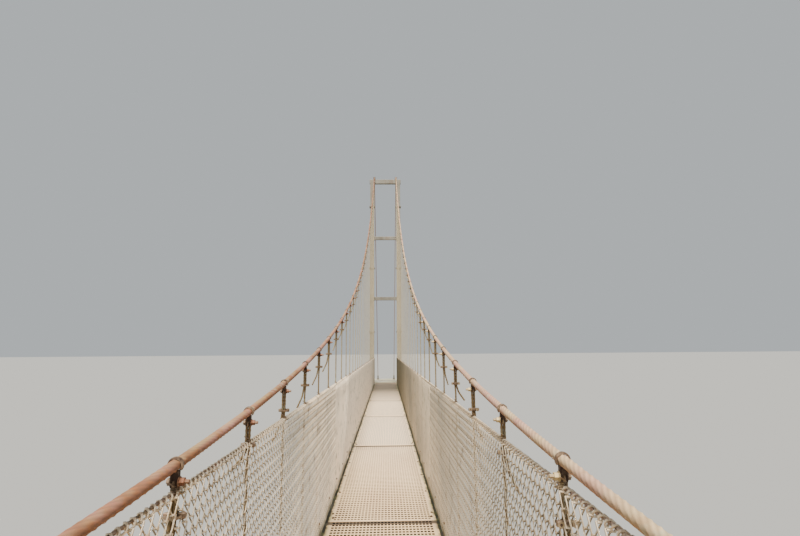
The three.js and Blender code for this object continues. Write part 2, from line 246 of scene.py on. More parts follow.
def settle(piece):
    """Turns a piece with live modifiers into a plain mesh."""
    depsgraph = bpy.context.evaluated_depsgraph_get()
    mesh = bpy.data.meshes.new_from_object(
        piece.evaluated_get(depsgraph), preserve_all_data_layers=True, depsgraph=depsgraph)
    piece.modifiers.clear()
    piece.data = mesh
    mesh.name = piece.name
    if not mesh.polygons:
        raise RuntimeError(f"{piece.name} came out empty")
    return piece


def join(name, pieces):
    """Joins pieces into the first one."""
    if len(pieces) > 1:
        with bpy.context.temp_override(
                active_object=pieces[0], object=pieces[0],
                selected_objects=pieces, selected_editable_objects=pieces):
            bpy.ops.object.join()
    pieces[0].name = name
    return pieces[0]


def discard(*pieces):
    for piece in pieces:
        bpy.data.objects.remove(piece)


def install(piece, slot, *nodes):
    """Puts a finished piece on the frame, in place of the nodes that it stands for."""
    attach(piece, "root")
    if nodes:
        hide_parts(*nodes)


def dressed(node, finish, bevel, name=None):
    """A copy of a CAD node with its edges eased."""
    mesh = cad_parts[node].data.copy()
    mesh.materials.clear()
    mesh.materials.append(finish)
    bm = bmesh.new()
    bm.from_mesh(mesh)
    bmesh.ops.remove_doubles(bm, verts=bm.verts, dist=1e-5)
    bmesh.ops.dissolve_limit(bm, angle_limit=math.radians(1), verts=bm.verts, edges=bm.edges)
    bm.to_mesh(mesh)
    bm.free()
    piece = new_piece(name or f"{node}_steel", mesh)
    rounding = piece.modifiers.new("Eased edges", "BEVEL")
    rounding.width = bevel
    rounding.segments = 2
    rounding.limit_method = "ANGLE"
    rounding.angle_limit = math.radians(35)
    return settle(piece)


def wire_mesh(name, lines):
    """Lines of points as the bare edges that a rope follows."""
    points, edges = [], []
    for line in lines:
        start = len(points)
        points.extend(line)
        edges.extend((i, i + 1) for i in range(start, len(points) - 1))
    mesh = bpy.data.meshes.new(name)
    mesh.from_pydata(points, edges, [])
    return mesh


def scatter(name, tree, template, material, places, turns=None):
    """Sets copies of a fitting at its places, each with its turn; the fitting itself is used up."""
    mesh = wire_mesh(name, [[place] for place in places])
    turn = mesh.attributes.new("turn", "FLOAT_VECTOR", "POINT")
    for i, value in enumerate(turns or [(0, 0, 0)] * len(places)):
        turn.data[i].vector = value
    made = grow(name, tree, mesh, Fitting=template, Material=material)
    discard(template)
    return made


class Fitting:
    """A small steel part made of tubes, blocks and prisms, with its zinc kept as an attribute.

    Its sizes are the real bridge's millimetres, unless another unit is given."""

    def __init__(self, unit=real(1)):
        self.unit = unit
        self.bm = bmesh.new()
        self.zinc = self.bm.verts.layers.float.new("zinc")

    def mark(self, count, zinc):
        self.bm.verts.ensure_lookup_table()
        for vertex in self.bm.verts[count:]:
            vertex[self.zinc] = zinc

    def sweep(self, rings, zinc):
        """Joins rings of points into a closed bar."""
        count = len(self.bm.verts)
        rings = [[self.bm.verts.new(self.unit * Vector(p)) for p in ring] for ring in rings]
        sides = len(rings[0])
        for ring, following in zip(rings, rings[1:]):
            for j in range(sides):
                k = (j + 1) % sides
                self.bm.faces.new((ring[j], ring[k], following[k], following[j]))
        self.bm.faces.new(reversed(rings[0]))
        self.bm.faces.new(rings[-1])
        self.mark(count, zinc)

    def tube(self, path, radius, zinc=0.5, sides=6):
        points = [Vector(p) for p in path]
        aside = None
        rings = []
        for i, point in enumerate(points):
            along = (points[min(i + 1, len(points) - 1)] - points[max(i - 1, 0)]).normalized()
            if aside is None:
                aside = along.orthogonal()
            aside = (aside - along * aside.dot(along)).normalized()
            up = along.cross(aside)
            angles = [FULL_TURN * j / sides for j in range(sides)]
            rings.append([
                point + radius * (math.cos(a) * aside + math.sin(a) * up) for a in angles])
        self.sweep(rings, zinc)

    def block(self, low, high, zinc=0.5, bevel=0.0):
        count = len(self.bm.verts)
        low, high = self.unit * Vector(low), self.unit * Vector(high)
        matrix = Matrix.LocRotScale((low + high) / 2, None, high - low)
        made = bmesh.ops.create_cube(self.bm, size=1, matrix=matrix)
        if bevel:
            # Each edge once, and always in the same order
            edges = dict.fromkeys(edge for vertex in made["verts"] for edge in vertex.link_edges)
            bmesh.ops.bevel(
                self.bm, geom=list(edges), offset=self.unit * bevel, segments=1, affect="EDGES",
                profile=0.5)
        self.mark(count, zinc)

    def prism(self, middle, axis, radius, depth, zinc=0.5, sides=6, top=None):
        count = len(self.bm.verts)
        turn = Vector(UPWARD).rotation_difference(Vector(axis))
        matrix = Matrix.Translation(self.unit * Vector(middle)) @ turn.to_matrix().to_4x4()
        bmesh.ops.create_cone(
            self.bm, cap_ends=True, segments=sides, radius1=self.unit * radius,
            radius2=self.unit * (radius if top is None else top), depth=self.unit * depth,
            matrix=matrix)
        self.mark(count, zinc)

    def finish(self, name, material=None):
        mesh = bpy.data.meshes.new(name)
        bmesh.ops.recalc_face_normals(self.bm, faces=self.bm.faces)
        self.bm.to_mesh(mesh)
        self.bm.free()
        if material:
            mesh.materials.append(material)
        return new_piece(name, mesh)


# Geometry trees


def divided(add, number, size):
    """In which run of a size a number falls, and its place in that run."""
    run = add("ShaderNodeMath", number, size, operation="DIVIDE")
    run = add("ShaderNodeMath", run, operation="FLOOR")
    return run, add("ShaderNodeMath", number, size, operation="MODULO")


def rope_turns(add, given):
    """How often a strand has gone round its rope."""
    travelled = add("GeometryNodeSplineParameter").outputs["Length"]
    return add("ShaderNodeMath", travelled, given["Lay"], operation="DIVIDE")


def swept(add, curve, section):
    """A smooth capped bar along a curve."""
    bar = add("GeometryNodeCurveToMesh", {
        "Curve": curve, "Profile Curve": section, "Fill Caps": True})
    return add("GeometryNodeSetShadeSmooth", {"Geometry": bar})


def rows_of(add, line, places):
    """A copy of a line at each place, as one mesh."""
    copies = add("GeometryNodeInstanceOnPoints", {"Points": places, "Instance": line})
    return add("GeometryNodeRealizeInstances", {"Geometry": copies})


def rope_tree():
    """Lays a stranded rope along each line; valley is 1 between two strands."""
    tree, add, given = new_tree("Rope", "Radius Depth Lay Step", Strands="Int")
    curve = add("GeometryNodeMeshToCurve", {"Mesh": given["Geometry"]})
    curve = add(
        "GeometryNodeResampleCurve", {"Curve": curve, "Length": given["Step"]}, mode="LENGTH")
    tilt = add("ShaderNodeMath", rope_turns(add, given), FULL_TURN, operation="MULTIPLY")
    curve = add("GeometryNodeSetCurveTilt", {"Curve": curve, "Tilt": tilt})
    inner = add("ShaderNodeMath", given["Radius"], given["Depth"], operation="MULTIPLY")
    star = add("GeometryNodeCurveStar", {
        "Points": given["Strands"], "Inner Radius": inner, "Outer Radius": given["Radius"]})
    valley = add("ShaderNodeMath", 1.0, star.outputs["Outer Points"], operation="SUBTRACT")
    profile = add("GeometryNodeStoreNamedAttribute", {
        "Geometry": star, "Name": "valley", "Value": valley}, data_type="FLOAT")
    rope = add("GeometryNodeCurveToMesh", {
        "Curve": curve, "Profile Curve": profile, "Fill Caps": True})
    return end_tree(tree, rope, given["Material"])


def smooth_rope_tree():
    """Sweeps a round rope along each line, and notes its turns, so that strands can be drawn."""
    tree, add, given = new_tree("Smooth rope", "Radius Lay", Sides="Int")
    curve = add("GeometryNodeMeshToCurve", {"Mesh": given["Geometry"]})
    curve = add("GeometryNodeStoreNamedAttribute", {
        "Geometry": curve, "Name": "turns", "Value": rope_turns(add, given)}, data_type="FLOAT")
    section = add("GeometryNodeCurvePrimitiveCircle", {
        "Resolution": given["Sides"], "Radius": given["Radius"]})
    share = add("GeometryNodeSplineParameter").outputs["Factor"]
    angle = add("ShaderNodeMath", share, FULL_TURN, operation="MULTIPLY")
    cosine, sine = (add("ShaderNodeMath", angle, operation=kind) for kind in ("COSINE", "SINE"))
    around = add("ShaderNodeCombineXYZ", cosine, sine, 1.0)
    section = add("GeometryNodeStoreNamedAttribute", {
        "Geometry": section, "Name": "around", "Value": around}, data_type="FLOAT_VECTOR")
    return end_tree(tree, swept(add, curve, section), given["Material"])


def hung_wires(add, given, wires, turn):
    """Gives a roll's wires their three-sided section, and hangs them.

    Hung mesh departs from a plane: it has broad folds, and its diamonds are a little out of
    square."""
    noise = add("ShaderNodeTexNoise", {"Scale": 1.7, "Detail": 2.0, "Roughness": 0.6})
    centred = add(
        "ShaderNodeVectorMath", noise.outputs["Color"], (0.5, 0.5, 0.5), operation="SUBTRACT")
    folds = add("ShaderNodeVectorMath", centred, (1.0, 0.8, 0.35), operation="MULTIPLY")
    folds = add("ShaderNodeVectorMath", folds, given["Wave"], operation="SCALE")
    wires = add("GeometryNodeSetPosition", {"Geometry": wires, "Offset": folds})
    curve = add("GeometryNodeMeshToCurve", {"Mesh": wires})
    curve = add("GeometryNodeSetCurveTilt", {"Curve": curve, "Tilt": turn})
    section = add("GeometryNodeCurvePrimitiveCircle", {"Resolution": 3, "Radius": given["Wire"]})
    return swept(add, curve, section)


def mesh_weave_tree():
    """Weaves chain-link mesh: upright flattened coils, each hooked into the next.

    All the front wires lean one way and all the back wires the other."""
    tree, add, given = new_tree(
        "Chain-link coils", "Across Up Depth Wire Wave Turn", Strands="Int", Rows="Int",
        Start="Vector")
    doubled = add("ShaderNodeMath", given["Rows"], 2.0, operation="MULTIPLY")
    strand = add("GeometryNodeMeshLine", {"Count": doubled, "Offset": (0.0, 0.0, 0.0)})
    along = add("ShaderNodeCombineXYZ", {"Y": given["Across"]})
    places = add("GeometryNodeMeshLine", {
        "Count": given["Strands"], "Start Location": given["Start"], "Offset": along})
    coils = rows_of(add, strand, places)
    # Each bend has two points, where it leaves one face of the mesh and reaches the other
    bend, point = divided(add, add("GeometryNodeInputIndex"), 2.0)
    number, row = divided(add, bend, given["Rows"])
    # With an odd number of rows, a bend is at the far side of its coil where its number is odd
    far = add("ShaderNodeMath", bend, 2.0, operation="MODULO")
    both = add("ShaderNodeMath", far, point, operation="ADD")
    front = add("ShaderNodeMath", both, 2.0, operation="MODULO")
    depth = add("ShaderNodeMath", front, -2.0, 1.0, operation="MULTIPLY_ADD")
    depth = add("ShaderNodeMath", depth, given["Depth"], operation="MULTIPLY")
    overlap = add("ShaderNodeMath", given["Wire"], 1.4, operation="MULTIPLY")
    reach = add("ShaderNodeMath", overlap, 2.0, given["Across"], operation="MULTIPLY_ADD")
    minus = add("ShaderNodeMath", overlap, -1.0, operation="MULTIPLY")
    side = add("ShaderNodeMath", far, reach, minus, operation="MULTIPLY_ADD")
    height = add("ShaderNodeMath", row, given["Up"], operation="MULTIPLY")
    bends = add("ShaderNodeCombineXYZ", depth, side, height)
    coils = add("GeometryNodeSetPosition", {"Geometry": coils, "Offset": bends})
    # The ridges of all coils are turned to one side, though every other coil is mirrored
    mirrored = add("ShaderNodeMath", number, 2.0, operation="MODULO")
    turn = add("ShaderNodeMath", mirrored, math.pi, given["Turn"], operation="MULTIPLY_ADD")
    return end_tree(tree, hung_wires(add, given, coils, turn), given["Material"])


def mesh_diagonal_tree():
    """Lays chain-link mesh as two layers of straight wires, for what is seen from further off.

    Length and Pitch are given for wires at 45 degrees, and Lean draws them together along the
    roll."""
    tree, add, given = new_tree(
        "Chain-link diagonals", "Length Height Pitch Lean Depth Wire Wave Turn", Wires="Int",
        Points="Int", Start="Vector")
    line = add("GeometryNodeMeshLine", {"Count": given["Points"], "Offset": (0.0, 0.0, 1.0)})
    count = add("ShaderNodeMath", given["Wires"], 2.0, operation="MULTIPLY")
    places = add("GeometryNodeMeshLine", {"Count": count, "Offset": (0.0, 1.0, 0.0)})
    wires = rows_of(add, line, places)
    wire, step = divided(add, add("GeometryNodeInputIndex"), given["Points"])
    last = add("ShaderNodeMath", given["Points"], 1.0, operation="SUBTRACT")
    share = add("ShaderNodeMath", step, last, operation="DIVIDE")
    mirrored = add("ShaderNodeMath", wire, given["Wires"], operation="GREATER_THAN")
    number = add("ShaderNodeMath", wire, given["Wires"], operation="MODULO")
    foot = add("ShaderNodeMath", number, given["Pitch"], operation="MULTIPLY")
    foot = add("ShaderNodeMath", foot, given["Height"], operation="SUBTRACT")
    minus_foot = add("ShaderNodeMath", foot, -1.0, operation="MULTIPLY")
    head = add("ShaderNodeMath", foot, given["Height"], operation="ADD")
    room = add("ShaderNodeMath", given["Length"], foot, operation="SUBTRACT")
    low = add("ShaderNodeCombineXYZ", {
        "Y": add("ShaderNodeMath", foot, 0.0, operation="MAXIMUM"),
        "Z": add("ShaderNodeMath", minus_foot, 0.0, operation="MAXIMUM")})
    high = add("ShaderNodeCombineXYZ", {
        "Y": add("ShaderNodeMath", head, given["Length"], operation="MINIMUM"),
        "Z": add("ShaderNodeMath", given["Height"], room, operation="MINIMUM")})
    place = add("ShaderNodeMix", share, low, high, data_type="VECTOR")
    parts = add("ShaderNodeSeparateXYZ", place).outputs
    far = add("ShaderNodeMath", given["Length"], parts["Y"], operation="SUBTRACT")
    side = add("ShaderNodeMix", mirrored, parts["Y"], far)
    side = add("ShaderNodeMath", side, given["Lean"], operation="MULTIPLY")
    depth = add("ShaderNodeMath", mirrored, 2.0, -1.0, operation="MULTIPLY_ADD")
    depth = add("ShaderNodeMath", depth, given["Depth"], operation="MULTIPLY")
    flat = add("ShaderNodeCombineXYZ", depth, side, parts["Z"])
    placed = add("ShaderNodeVectorMath", flat, given["Start"], operation="ADD")
    wires = add("GeometryNodeSetPosition", {"Geometry": wires, "Position": placed})
    rise = add("ShaderNodeSeparateXYZ", add("GeometryNodeInputTangent")).outputs
    backward = add("ShaderNodeMath", rise["Y"], 0.0, operation="LESS_THAN")
    turn = add("ShaderNodeMath", backward, math.pi, given["Turn"], operation="MULTIPLY_ADD")
    return end_tree(tree, hung_wires(add, given, wires, turn), given["Material"])


def perforated_tree():
    """Cuts a sheet's rows of slots: a grid whose lines run along the slots' edges."""
    tree, add, given = new_tree(
        "Perforated sheet",
        "Width Length Thickness PitchAcross PitchAlong HoleWidth HoleLength Shift",
        Across="Int", Along="Int")
    lines_x, lines_y = (
        add("ShaderNodeMath", given[holes], 2.0, 2.0, operation="MULTIPLY_ADD")
        for holes in ("Across", "Along"))
    grid = add("GeometryNodeMeshGrid", {"Vertices X": lines_x, "Vertices Y": lines_y})
    index = add("GeometryNodeInputIndex")
    column, row = divided(add, index, lines_y)
    places = []
    for number, lines, holes, hole, size, shift in (
            (column, lines_x, "Across", "HoleWidth", "Width", 0.0),
            (row, lines_y, "Along", "HoleLength", "Length", given["Shift"])):
        inner = add("ShaderNodeMath", number, 1.0, operation="SUBTRACT")
        slot, edge = divided(add, inner, 2.0)
        edge = add("ShaderNodeMath", edge, 0.5, operation="SUBTRACT")
        edge = add("ShaderNodeMath", edge, given[hole], operation="MULTIPLY")
        middle = add("ShaderNodeMath", given[holes], 1.0, operation="SUBTRACT")
        middle = add("ShaderNodeMath", middle, 2.0, operation="DIVIDE")
        offset = add("ShaderNodeMath", slot, middle, operation="SUBTRACT")
        inside = add(
            "ShaderNodeMath", offset, given["Pitch" + holes], edge, operation="MULTIPLY_ADD")
        inside = add("ShaderNodeMath", inside, shift, operation="ADD")
        half = add("ShaderNodeMath", given[size], 2.0, operation="DIVIDE")
        minus_half = add("ShaderNodeMath", given[size], -2.0, operation="DIVIDE")
        last = add("ShaderNodeMath", lines, 1.5, operation="SUBTRACT")
        is_first = add("ShaderNodeMath", number, 0.5, operation="LESS_THAN")
        is_last = add("ShaderNodeMath", number, last, operation="GREATER_THAN")
        placed = add("ShaderNodeMix", is_first, inside, minus_half)
        places.append(add("ShaderNodeMix", is_last, placed, half))
    flat = add("ShaderNodeCombineXYZ", *places)
    grid = add("GeometryNodeSetPosition", {"Geometry": grid, "Position": flat})
    # A cell is a slot where both its column and its row are odd
    cells_y = add("ShaderNodeMath", lines_y, 1.0, operation="SUBTRACT")
    odd_column, odd_row = (
        add("ShaderNodeMath", number, 2.0, operation="MODULO")
        for number in divided(add, index, cells_y))
    is_slot = add("ShaderNodeMath", odd_column, odd_row, operation="MULTIPLY")
    top = add("GeometryNodeDeleteGeometry", {"Geometry": grid, "Selection": is_slot}, domain="FACE")
    downward = add("ShaderNodeCombineXYZ", {"Z": -1.0})
    walls = add("GeometryNodeExtrudeMesh", {
        "Mesh": top, "Offset": downward, "Offset Scale": given["Thickness"], "Individual": False})
    walls = add("GeometryNodeFlipFaces", {"Mesh": walls})
    body = add("GeometryNodeJoinGeometry", {"Geometry": [walls, top]})
    body = add("GeometryNodeMergeByDistance", {"Geometry": body, "Distance": 1e-5})
    body = add("GeometryNodeSetShadeSmooth", {"Geometry": body, "Shade Smooth": False})
    return end_tree(tree, body, given["Material"])


def fitting_tree():
    """Sets a fitting on each point, turned as the point says."""
    tree, add, given = new_tree("Fittings", "", Fitting="Object")
    part = add("GeometryNodeObjectInfo", {"Object": given["Fitting"]}).outputs["Geometry"]
    turn = add("GeometryNodeInputNamedAttribute", {"Name": "turn"}, data_type="FLOAT_VECTOR")
    placed = add("GeometryNodeInstanceOnPoints", {
        "Points": given["Geometry"], "Instance": part, "Rotation": turn})
    return end_tree(tree, placed, given["Material"])


def lacing_tree():
    """Winds the lacing wire round a rope's line and the mesh under it."""
    tree, add, given = new_tree(
        "Lacing", "Length Pitch Reach Drop Wire", Points="Int", Start="Vector")
    last = add("ShaderNodeMath", given["Points"], 1.0, operation="SUBTRACT")
    step = add("ShaderNodeMath", given["Length"], last, operation="DIVIDE")
    line = add("GeometryNodeMeshLine", {
        "Count": given["Points"], "Start Location": given["Start"],
        "Offset": add("ShaderNodeCombineXYZ", {"Y": step})})
    place = add("ShaderNodeSeparateXYZ", add("GeometryNodeInputPosition")).outputs
    turns = add("ShaderNodeMath", place["Y"], given["Pitch"], operation="DIVIDE")
    angle = add("ShaderNodeMath", turns, FULL_TURN, operation="MULTIPLY")
    across, up = (
        add("ShaderNodeMath", add("ShaderNodeMath", angle, operation=kind), given[size],
            operation="MULTIPLY")
        for kind, size in (("COSINE", "Reach"), ("SINE", "Drop")))
    wound = add("ShaderNodeCombineXYZ", {"X": across, "Z": up})
    line = add("GeometryNodeSetPosition", {"Geometry": line, "Offset": wound})
    curve = add("GeometryNodeMeshToCurve", {"Mesh": line})
    section = add("GeometryNodeCurvePrimitiveCircle", {"Resolution": 3, "Radius": given["Wire"]})
    return end_tree(tree, swept(add, curve, section), given["Material"])


# Finishes


class Finish:
    """A material in the making: its nodes, its piece's own coordinates, and its colour so far."""

    def __init__(self, name, colour):
        self.material = bpy.data.materials.new(name)
        self.material.use_nodes = True
        self.material.node_tree.nodes.clear()
        self.add = add = partial(add_node, self.material.node_tree)
        self.colour = colour
        self.place = add("ShaderNodeTexCoord").outputs["Object"]
        self.axes = add("ShaderNodeSeparateXYZ", self.place).outputs
        self.from_midspan = add("ShaderNodeMath", self.axes["Y"], operation="ABSOLUTE")
        facing = add("ShaderNodeSeparateXYZ", add("ShaderNodeNewGeometry").outputs["Normal"])
        self.up = facing.outputs["Z"]

    def patches(self, scale, low, high, detail=3.0, stretch=None):
        """Where a blotch lies: a noise that is 0 below low and 1 above high."""
        place = self.place
        if stretch:
            place = self.add("ShaderNodeMapping", {"Vector": place, "Scale": stretch})
        noise = self.add("ShaderNodeTexNoise", {"Vector": place, "Scale": scale, "Detail": detail})
        return self.add("ShaderNodeMapRange", noise, low, high)

    def shared(self, *shares):
        """The product of some shares."""
        product, *others = shares
        for share in others:
            product = self.add("ShaderNodeMath", product, share, operation="MULTIPLY")
        return product

    def stain(self, colour, *shares):
        """Lays a colour over what is there, by the product of its shares."""
        self.colour = self.add(
            "ShaderNodeMix", self.shared(*shares), self.colour, colour, data_type="RGBA")

    def finish(self, roughness, metallic, height=None, bump=0.0, distance=0.001):
        inputs = {"Base Color": self.colour, "Roughness": roughness, "Metallic": metallic}
        if height is not None:
            inputs["Normal"] = self.add(
                "ShaderNodeBump", {"Height": height, "Strength": bump, "Distance": distance})
        self.add("ShaderNodeOutputMaterial", {
            "Surface": self.add("ShaderNodeBsdfPrincipled", inputs)})
        return self.material


def old_rope_finish(name, colours, rusty, base, pink=1.0, midspan_colour=None, rust=None):
    """Galvanised wire rope left in the rain: dull cream zinc oxide, pinkish and rusty blotches.

    The eye sees a matt surface, grooves between strands darkened with painted shade, and a browner
    underside, rust with painted shade. A colour given for mid-span is that of the ropes there, which
    turns to the base colour further out."""
    skin = Finish(name, midspan_colour or base)
    add, up = skin.add, skin.up
    rust = rust or colours.rust
    # Ropes about mid-span keep the darker colour given for there, and turn to the base colour further
    # out
    if midspan_colour:
        skin.stain(base, add("ShaderNodeMapRange", skin.from_midspan, real(4500), real(9500)))
    skin.stain(colours.pink_oxide, skin.patches(9.0, 0.4, 0.66), pink)
    skin.stain(rust, skin.patches(55.0, 0.5, 0.66), rusty)
    # Rust with painted shade on the underside, more on a rustier rope
    skin.stain(rust, add("ShaderNodeMapRange", up, 0.35, -0.75, 0.0, 0.4 + 0.45 * rusty))
    # Pale green bloom
    skin.stain("#B9BFA2", skin.patches(26.0, 0.6, 0.7, detail=5.0), 0.5)
    # Rusty rope keeps an olive bloom along its top, with a painted highlight there
    bloom_and_highlight = add("ShaderNodeMapRange", up, 0.45, 0.95, 0.0, 0.7 * rusty)
    skin.stain("#A8966A", bloom_and_highlight, skin.patches(17.0, 0.4, 0.6))
    # A smooth rope's six strands are drawn from its turns along and around
    around = add("ShaderNodeSeparateXYZ", add(
        "ShaderNodeAttribute", attribute_name="around").outputs["Vector"]).outputs
    angle = add("ShaderNodeMath", around["Y"], around["X"], operation="ARCTAN2")
    turned = add("ShaderNodeMath", angle, 1 / FULL_TURN, operation="MULTIPLY")
    turns = add("ShaderNodeAttribute", attribute_name="turns").outputs["Fac"]
    turned = add("ShaderNodeMath", turned, turns, operation="ADD")
    strand = add("ShaderNodeMath", turned, 6.0, operation="MULTIPLY")
    strand = add("ShaderNodeMath", strand, 0.5, operation="PINGPONG")
    drawn = skin.shared(add("ShaderNodeMapRange", strand, 0.3, 0.5), around["Z"])
    # Painted shade in the grooves between strands, cut ones and drawn ones alike
    valley = add("ShaderNodeAttribute", attribute_name="valley").outputs["Fac"]
    skin.stain("#5A4432", add("ShaderNodeMath", valley, drawn, operation="MAXIMUM"), 0.42)
    # Wires of 2 mm lie side by side in each strand, drawn coarser so that they show
    grain = add("ShaderNodeTexNoise", {"Vector": skin.place, "Scale": 700.0, "Detail": 1.0})
    relief = add("ShaderNodeMath", drawn, -3.0, grain, operation="MULTIPLY_ADD")
    return skin.finish(0.68, 0.25, relief, 0.5, 0.0006)


def main_rope_finish(hand, colours):
    """The left rope is mostly rust and pink oxide, the right one still mostly cream zinc."""
    name = f"old_main_rope_{hand}"
    if hand == "left":
        return old_rope_finish(name, colours, 0.8, "#875A3C", pink=0.6)
    return old_rope_finish(name, colours, 0.3, colours.cream_rope, pink=0.75)


def galvanised_wire_finish(colours, woven=False):
    """Hot-dip galvanised wire, years old: chalky, cream to grey, with some brown knuckles.

    In woven mesh the wires in front all lean one way, and the wires behind them, which lean the
    other way, are darkened with painted shade. Algae darken the lowest diamonds."""
    skin = Finish("galvanised_mesh_wire" if woven else "galvanised_lacing_wire", colours.zinc)
    add, axes, from_midspan = skin.add, skin.axes, skin.from_midspan
    skin.stain("#C9BCA6", skin.patches(1.6, 0.35, 0.7))
    if woven:
        # Painted light on the left-hand rolls, from mid-span to near the banks
        left = add("ShaderNodeMath", axes["X"], 0.0, operation="LESS_THAN")
        painted_sunlight = skin.shared(
            add("ShaderNodeMapRange", from_midspan, real(4000), real(9500), 0.0, 0.9),
            add("ShaderNodeMapRange", from_midspan, real(23500), real(19500)), left)
        skin.stain("#FFEDD4", painted_sunlight)
    skin.stain("#9B8468", skin.patches(16.0, 0.56, 0.75 if woven else 0.95))
    if woven:
        # Painted shade on the wires behind, told by their lean, less where the painted light lies
        normal = add("ShaderNodeNewGeometry").outputs["True Normal"]
        facing = add("ShaderNodeSeparateXYZ", normal).outputs
        lean = add("ShaderNodeMath", facing["Y"], facing["Z"], operation="MULTIPLY")
        outside_painted_light = add("ShaderNodeMath", painted_sunlight, -0.72, 1.0, operation="MULTIPLY_ADD")
        skin.stain("#54482F", add("ShaderNodeMapRange", lean, 0.02, 0.06, 0.0, 0.72), outside_painted_light)
        # Painted shade on the right-hand rolls, growing towards the banks
        right = add("ShaderNodeMath", axes["X"], 0.0, operation="GREATER_THAN")
        painted_shade_right = add("ShaderNodeMapRange", from_midspan, real(4000), real(18500), 0.15, 0.88)
        skin.stain("#5F563A", painted_shade_right, right)
        low = add("ShaderNodeMapRange", axes["Z"], DECK_TOP + real(120), DECK_TOP + real(10),
                  0.0, 0.9)
        skin.stain("#3F3C1E", low, skin.patches(9.0, 0.3, 0.5))
    return skin.finish(0.55, 0.35)


def deck_sheet_finish(colours, marked=False):
    """Mill-finish aluminium sheet under a film of trodden earth: pale, matt, browner along the walked
    line and before each joint, green at its edges. Its colour also holds painted light and shade:
    brighter between mid-span and the banks, painted shade about mid-span, near the banks and low
    inside its slots, and dirt with painted shade in each joint.

    A marked sheet has its slots drawn on it, for sheets that lie far from a walker's eye."""
    skin = Finish("trodden_sheet_marked" if marked else "trodden_aluminium_sheet", colours.deck)
    add, axes, from_midspan = skin.add, skin.axes, skin.from_midspan
    aside = add("ShaderNodeMath", axes["X"], operation="ABSOLUTE")
    sheet_end = SHEET_PITCH / 2
    shifted = add("ShaderNodeMath", axes["Y"], -SHEET_MIDDLE, operation="ADD")
    local = add("ShaderNodeMath", shifted, sheet_end, -sheet_end, operation="WRAP")
    number = add("ShaderNodeMath", shifted, 1 / SHEET_PITCH, operation="MULTIPLY")
    number = add("ShaderNodeMath", number, operation="ROUND")
    lot = add("ShaderNodeTexWhiteNoise", {"W": number}, noise_dimensions="1D").outputs["Value"]

    skin.stain("#EFCB98", skin.patches(1.1, 0.36, 0.68))
    skin.stain("#CDBAA4", lot, 0.3)
    # Painted light: the sheets between mid-span and the banks are made brighter
    painted_light_band = add("ShaderNodeMapRange", from_midspan, real(6500), real(10500), 0.0, 0.6)
    skin.stain("#FFE9C6", painted_light_band)
    # Painted shade on the sheets near both banks
    bank_shade = add("ShaderNodeMapRange", from_midspan, real(16200), real(21800), 0.0, 0.92)
    skin.stain("#3A3019", bank_shade)
    # Painted shade, brownish, on the sheets about mid-span
    painted_near_shade = add("ShaderNodeMapRange", from_midspan, real(7000), real(5200), 0.0, 0.35)
    skin.stain("#A98F6C", painted_near_shade)
    skin.stain(
        colours.deck_dirt, skin.patches(2.2, 0.44, 0.72, stretch=(1.0, 0.45, 1.0)),
        skin.patches(90.0, 0.35, 0.75, detail=5.0), 0.6)
    end = add("ShaderNodeMapRange", local, sheet_end - real(420), sheet_end - real(20), 0.0, 0.55)
    skin.stain("#AE937B", end, skin.patches(6.0, 0.3, 0.6))
    edge = add("ShaderNodeMapRange", aside, real(455), real(500))
    skin.stain(colours.stain, edge, skin.patches(11.0, 0.38, 0.62), 0.75)
    brink = add("ShaderNodeMapRange", aside, real(476), real(497))
    skin.stain("#3A301C", brink, skin.patches(34.0, 0.36, 0.56), 0.85)
    # Dirt and painted shade fill each joint; further off, painted shade also lies along its lip
    joint = add("ShaderNodeMapRange", local, sheet_end - real(28), sheet_end - real(14))
    lip_shade = skin.shared(
        add("ShaderNodeMapRange", local, sheet_end - real(84), sheet_end - real(70)),
        add("ShaderNodeMapRange", from_midspan, real(3000), real(5500)))
    joint = add("ShaderNodeMath", joint, lip_shade, operation="MAXIMUM")
    skin.stain("#2E231A", joint, 0.9)
    # The rim of a slot is bright, and its wall further down is painted shade, weaker from mid-span
    # towards the banks, and full in the last row before each joint
    wall = add("ShaderNodeMapRange", skin.up, 0.6, 0.2)
    dark = skin.shared(
        add("ShaderNodeMapRange", axes["Z"], DECK_TOP - real(0.3), DECK_TOP - real(1.6)),
        add("ShaderNodeMapRange", from_midspan, real(5600), real(7600), 1.0, 0.3))
    last_row = add("ShaderNodeMapRange", local, sheet_end - real(64), sheet_end - real(58))
    dark = add("ShaderNodeMath", dark, last_row, operation="MAXIMUM")
    skin.stain("#130E0A", dark, wall)
    if marked:
        # A far slot is drawn in painted shade: a mid tone for its wall and the shaded floor seen
        # through it, near black in the painted shade near the banks
        inside = add("ShaderNodeMix", bank_shade, "#A39380", "#1B160D", data_type="RGBA")
        skin.stain(inside, *drawn_slots(skin, local))
    # Rolling lines run along the sheet, drawn coarser than they are so that they show
    scratches = add("ShaderNodeTexNoise", {
        "Vector": add("ShaderNodeMapping", {"Vector": skin.place, "Scale": (1.0, 0.06, 1.0)}),
        "Scale": 420.0, "Detail": 2.0})
    return skin.finish(0.6, 0.12, scratches, 0.25, 0.0008)


def drawn_slots(skin, local):
    """Shares that are all 1 inside each slot of a sheet, on faces that look up or down."""
    add = skin.add
    sizes = bpy.context.scene.bridge_sizes
    flat = add("ShaderNodeMath", skin.up, operation="ABSOLUTE")
    shares = [add("ShaderNodeMath", flat, 0.9, operation="GREATER_THAN")]
    shifted = add("ShaderNodeMath", local, -SLOT_SHIFT, operation="ADD")
    for value, pitch, hole, count in (
            (skin.axes["X"], sizes.hole_pitch_across, sizes.hole_width, sizes.holes_across),
            (shifted, sizes.hole_pitch_along, sizes.hole_length, sizes.holes_along)):
        cell = add("ShaderNodeMath", value, pitch / 2, -pitch / 2, operation="WRAP")
        for place, limit in ((cell, hole / 2), (value, count * pitch / 2)):
            off = add("ShaderNodeMath", place, operation="ABSOLUTE")
            shares.append(add("ShaderNodeMath", off, limit, operation="LESS_THAN"))
    return shares


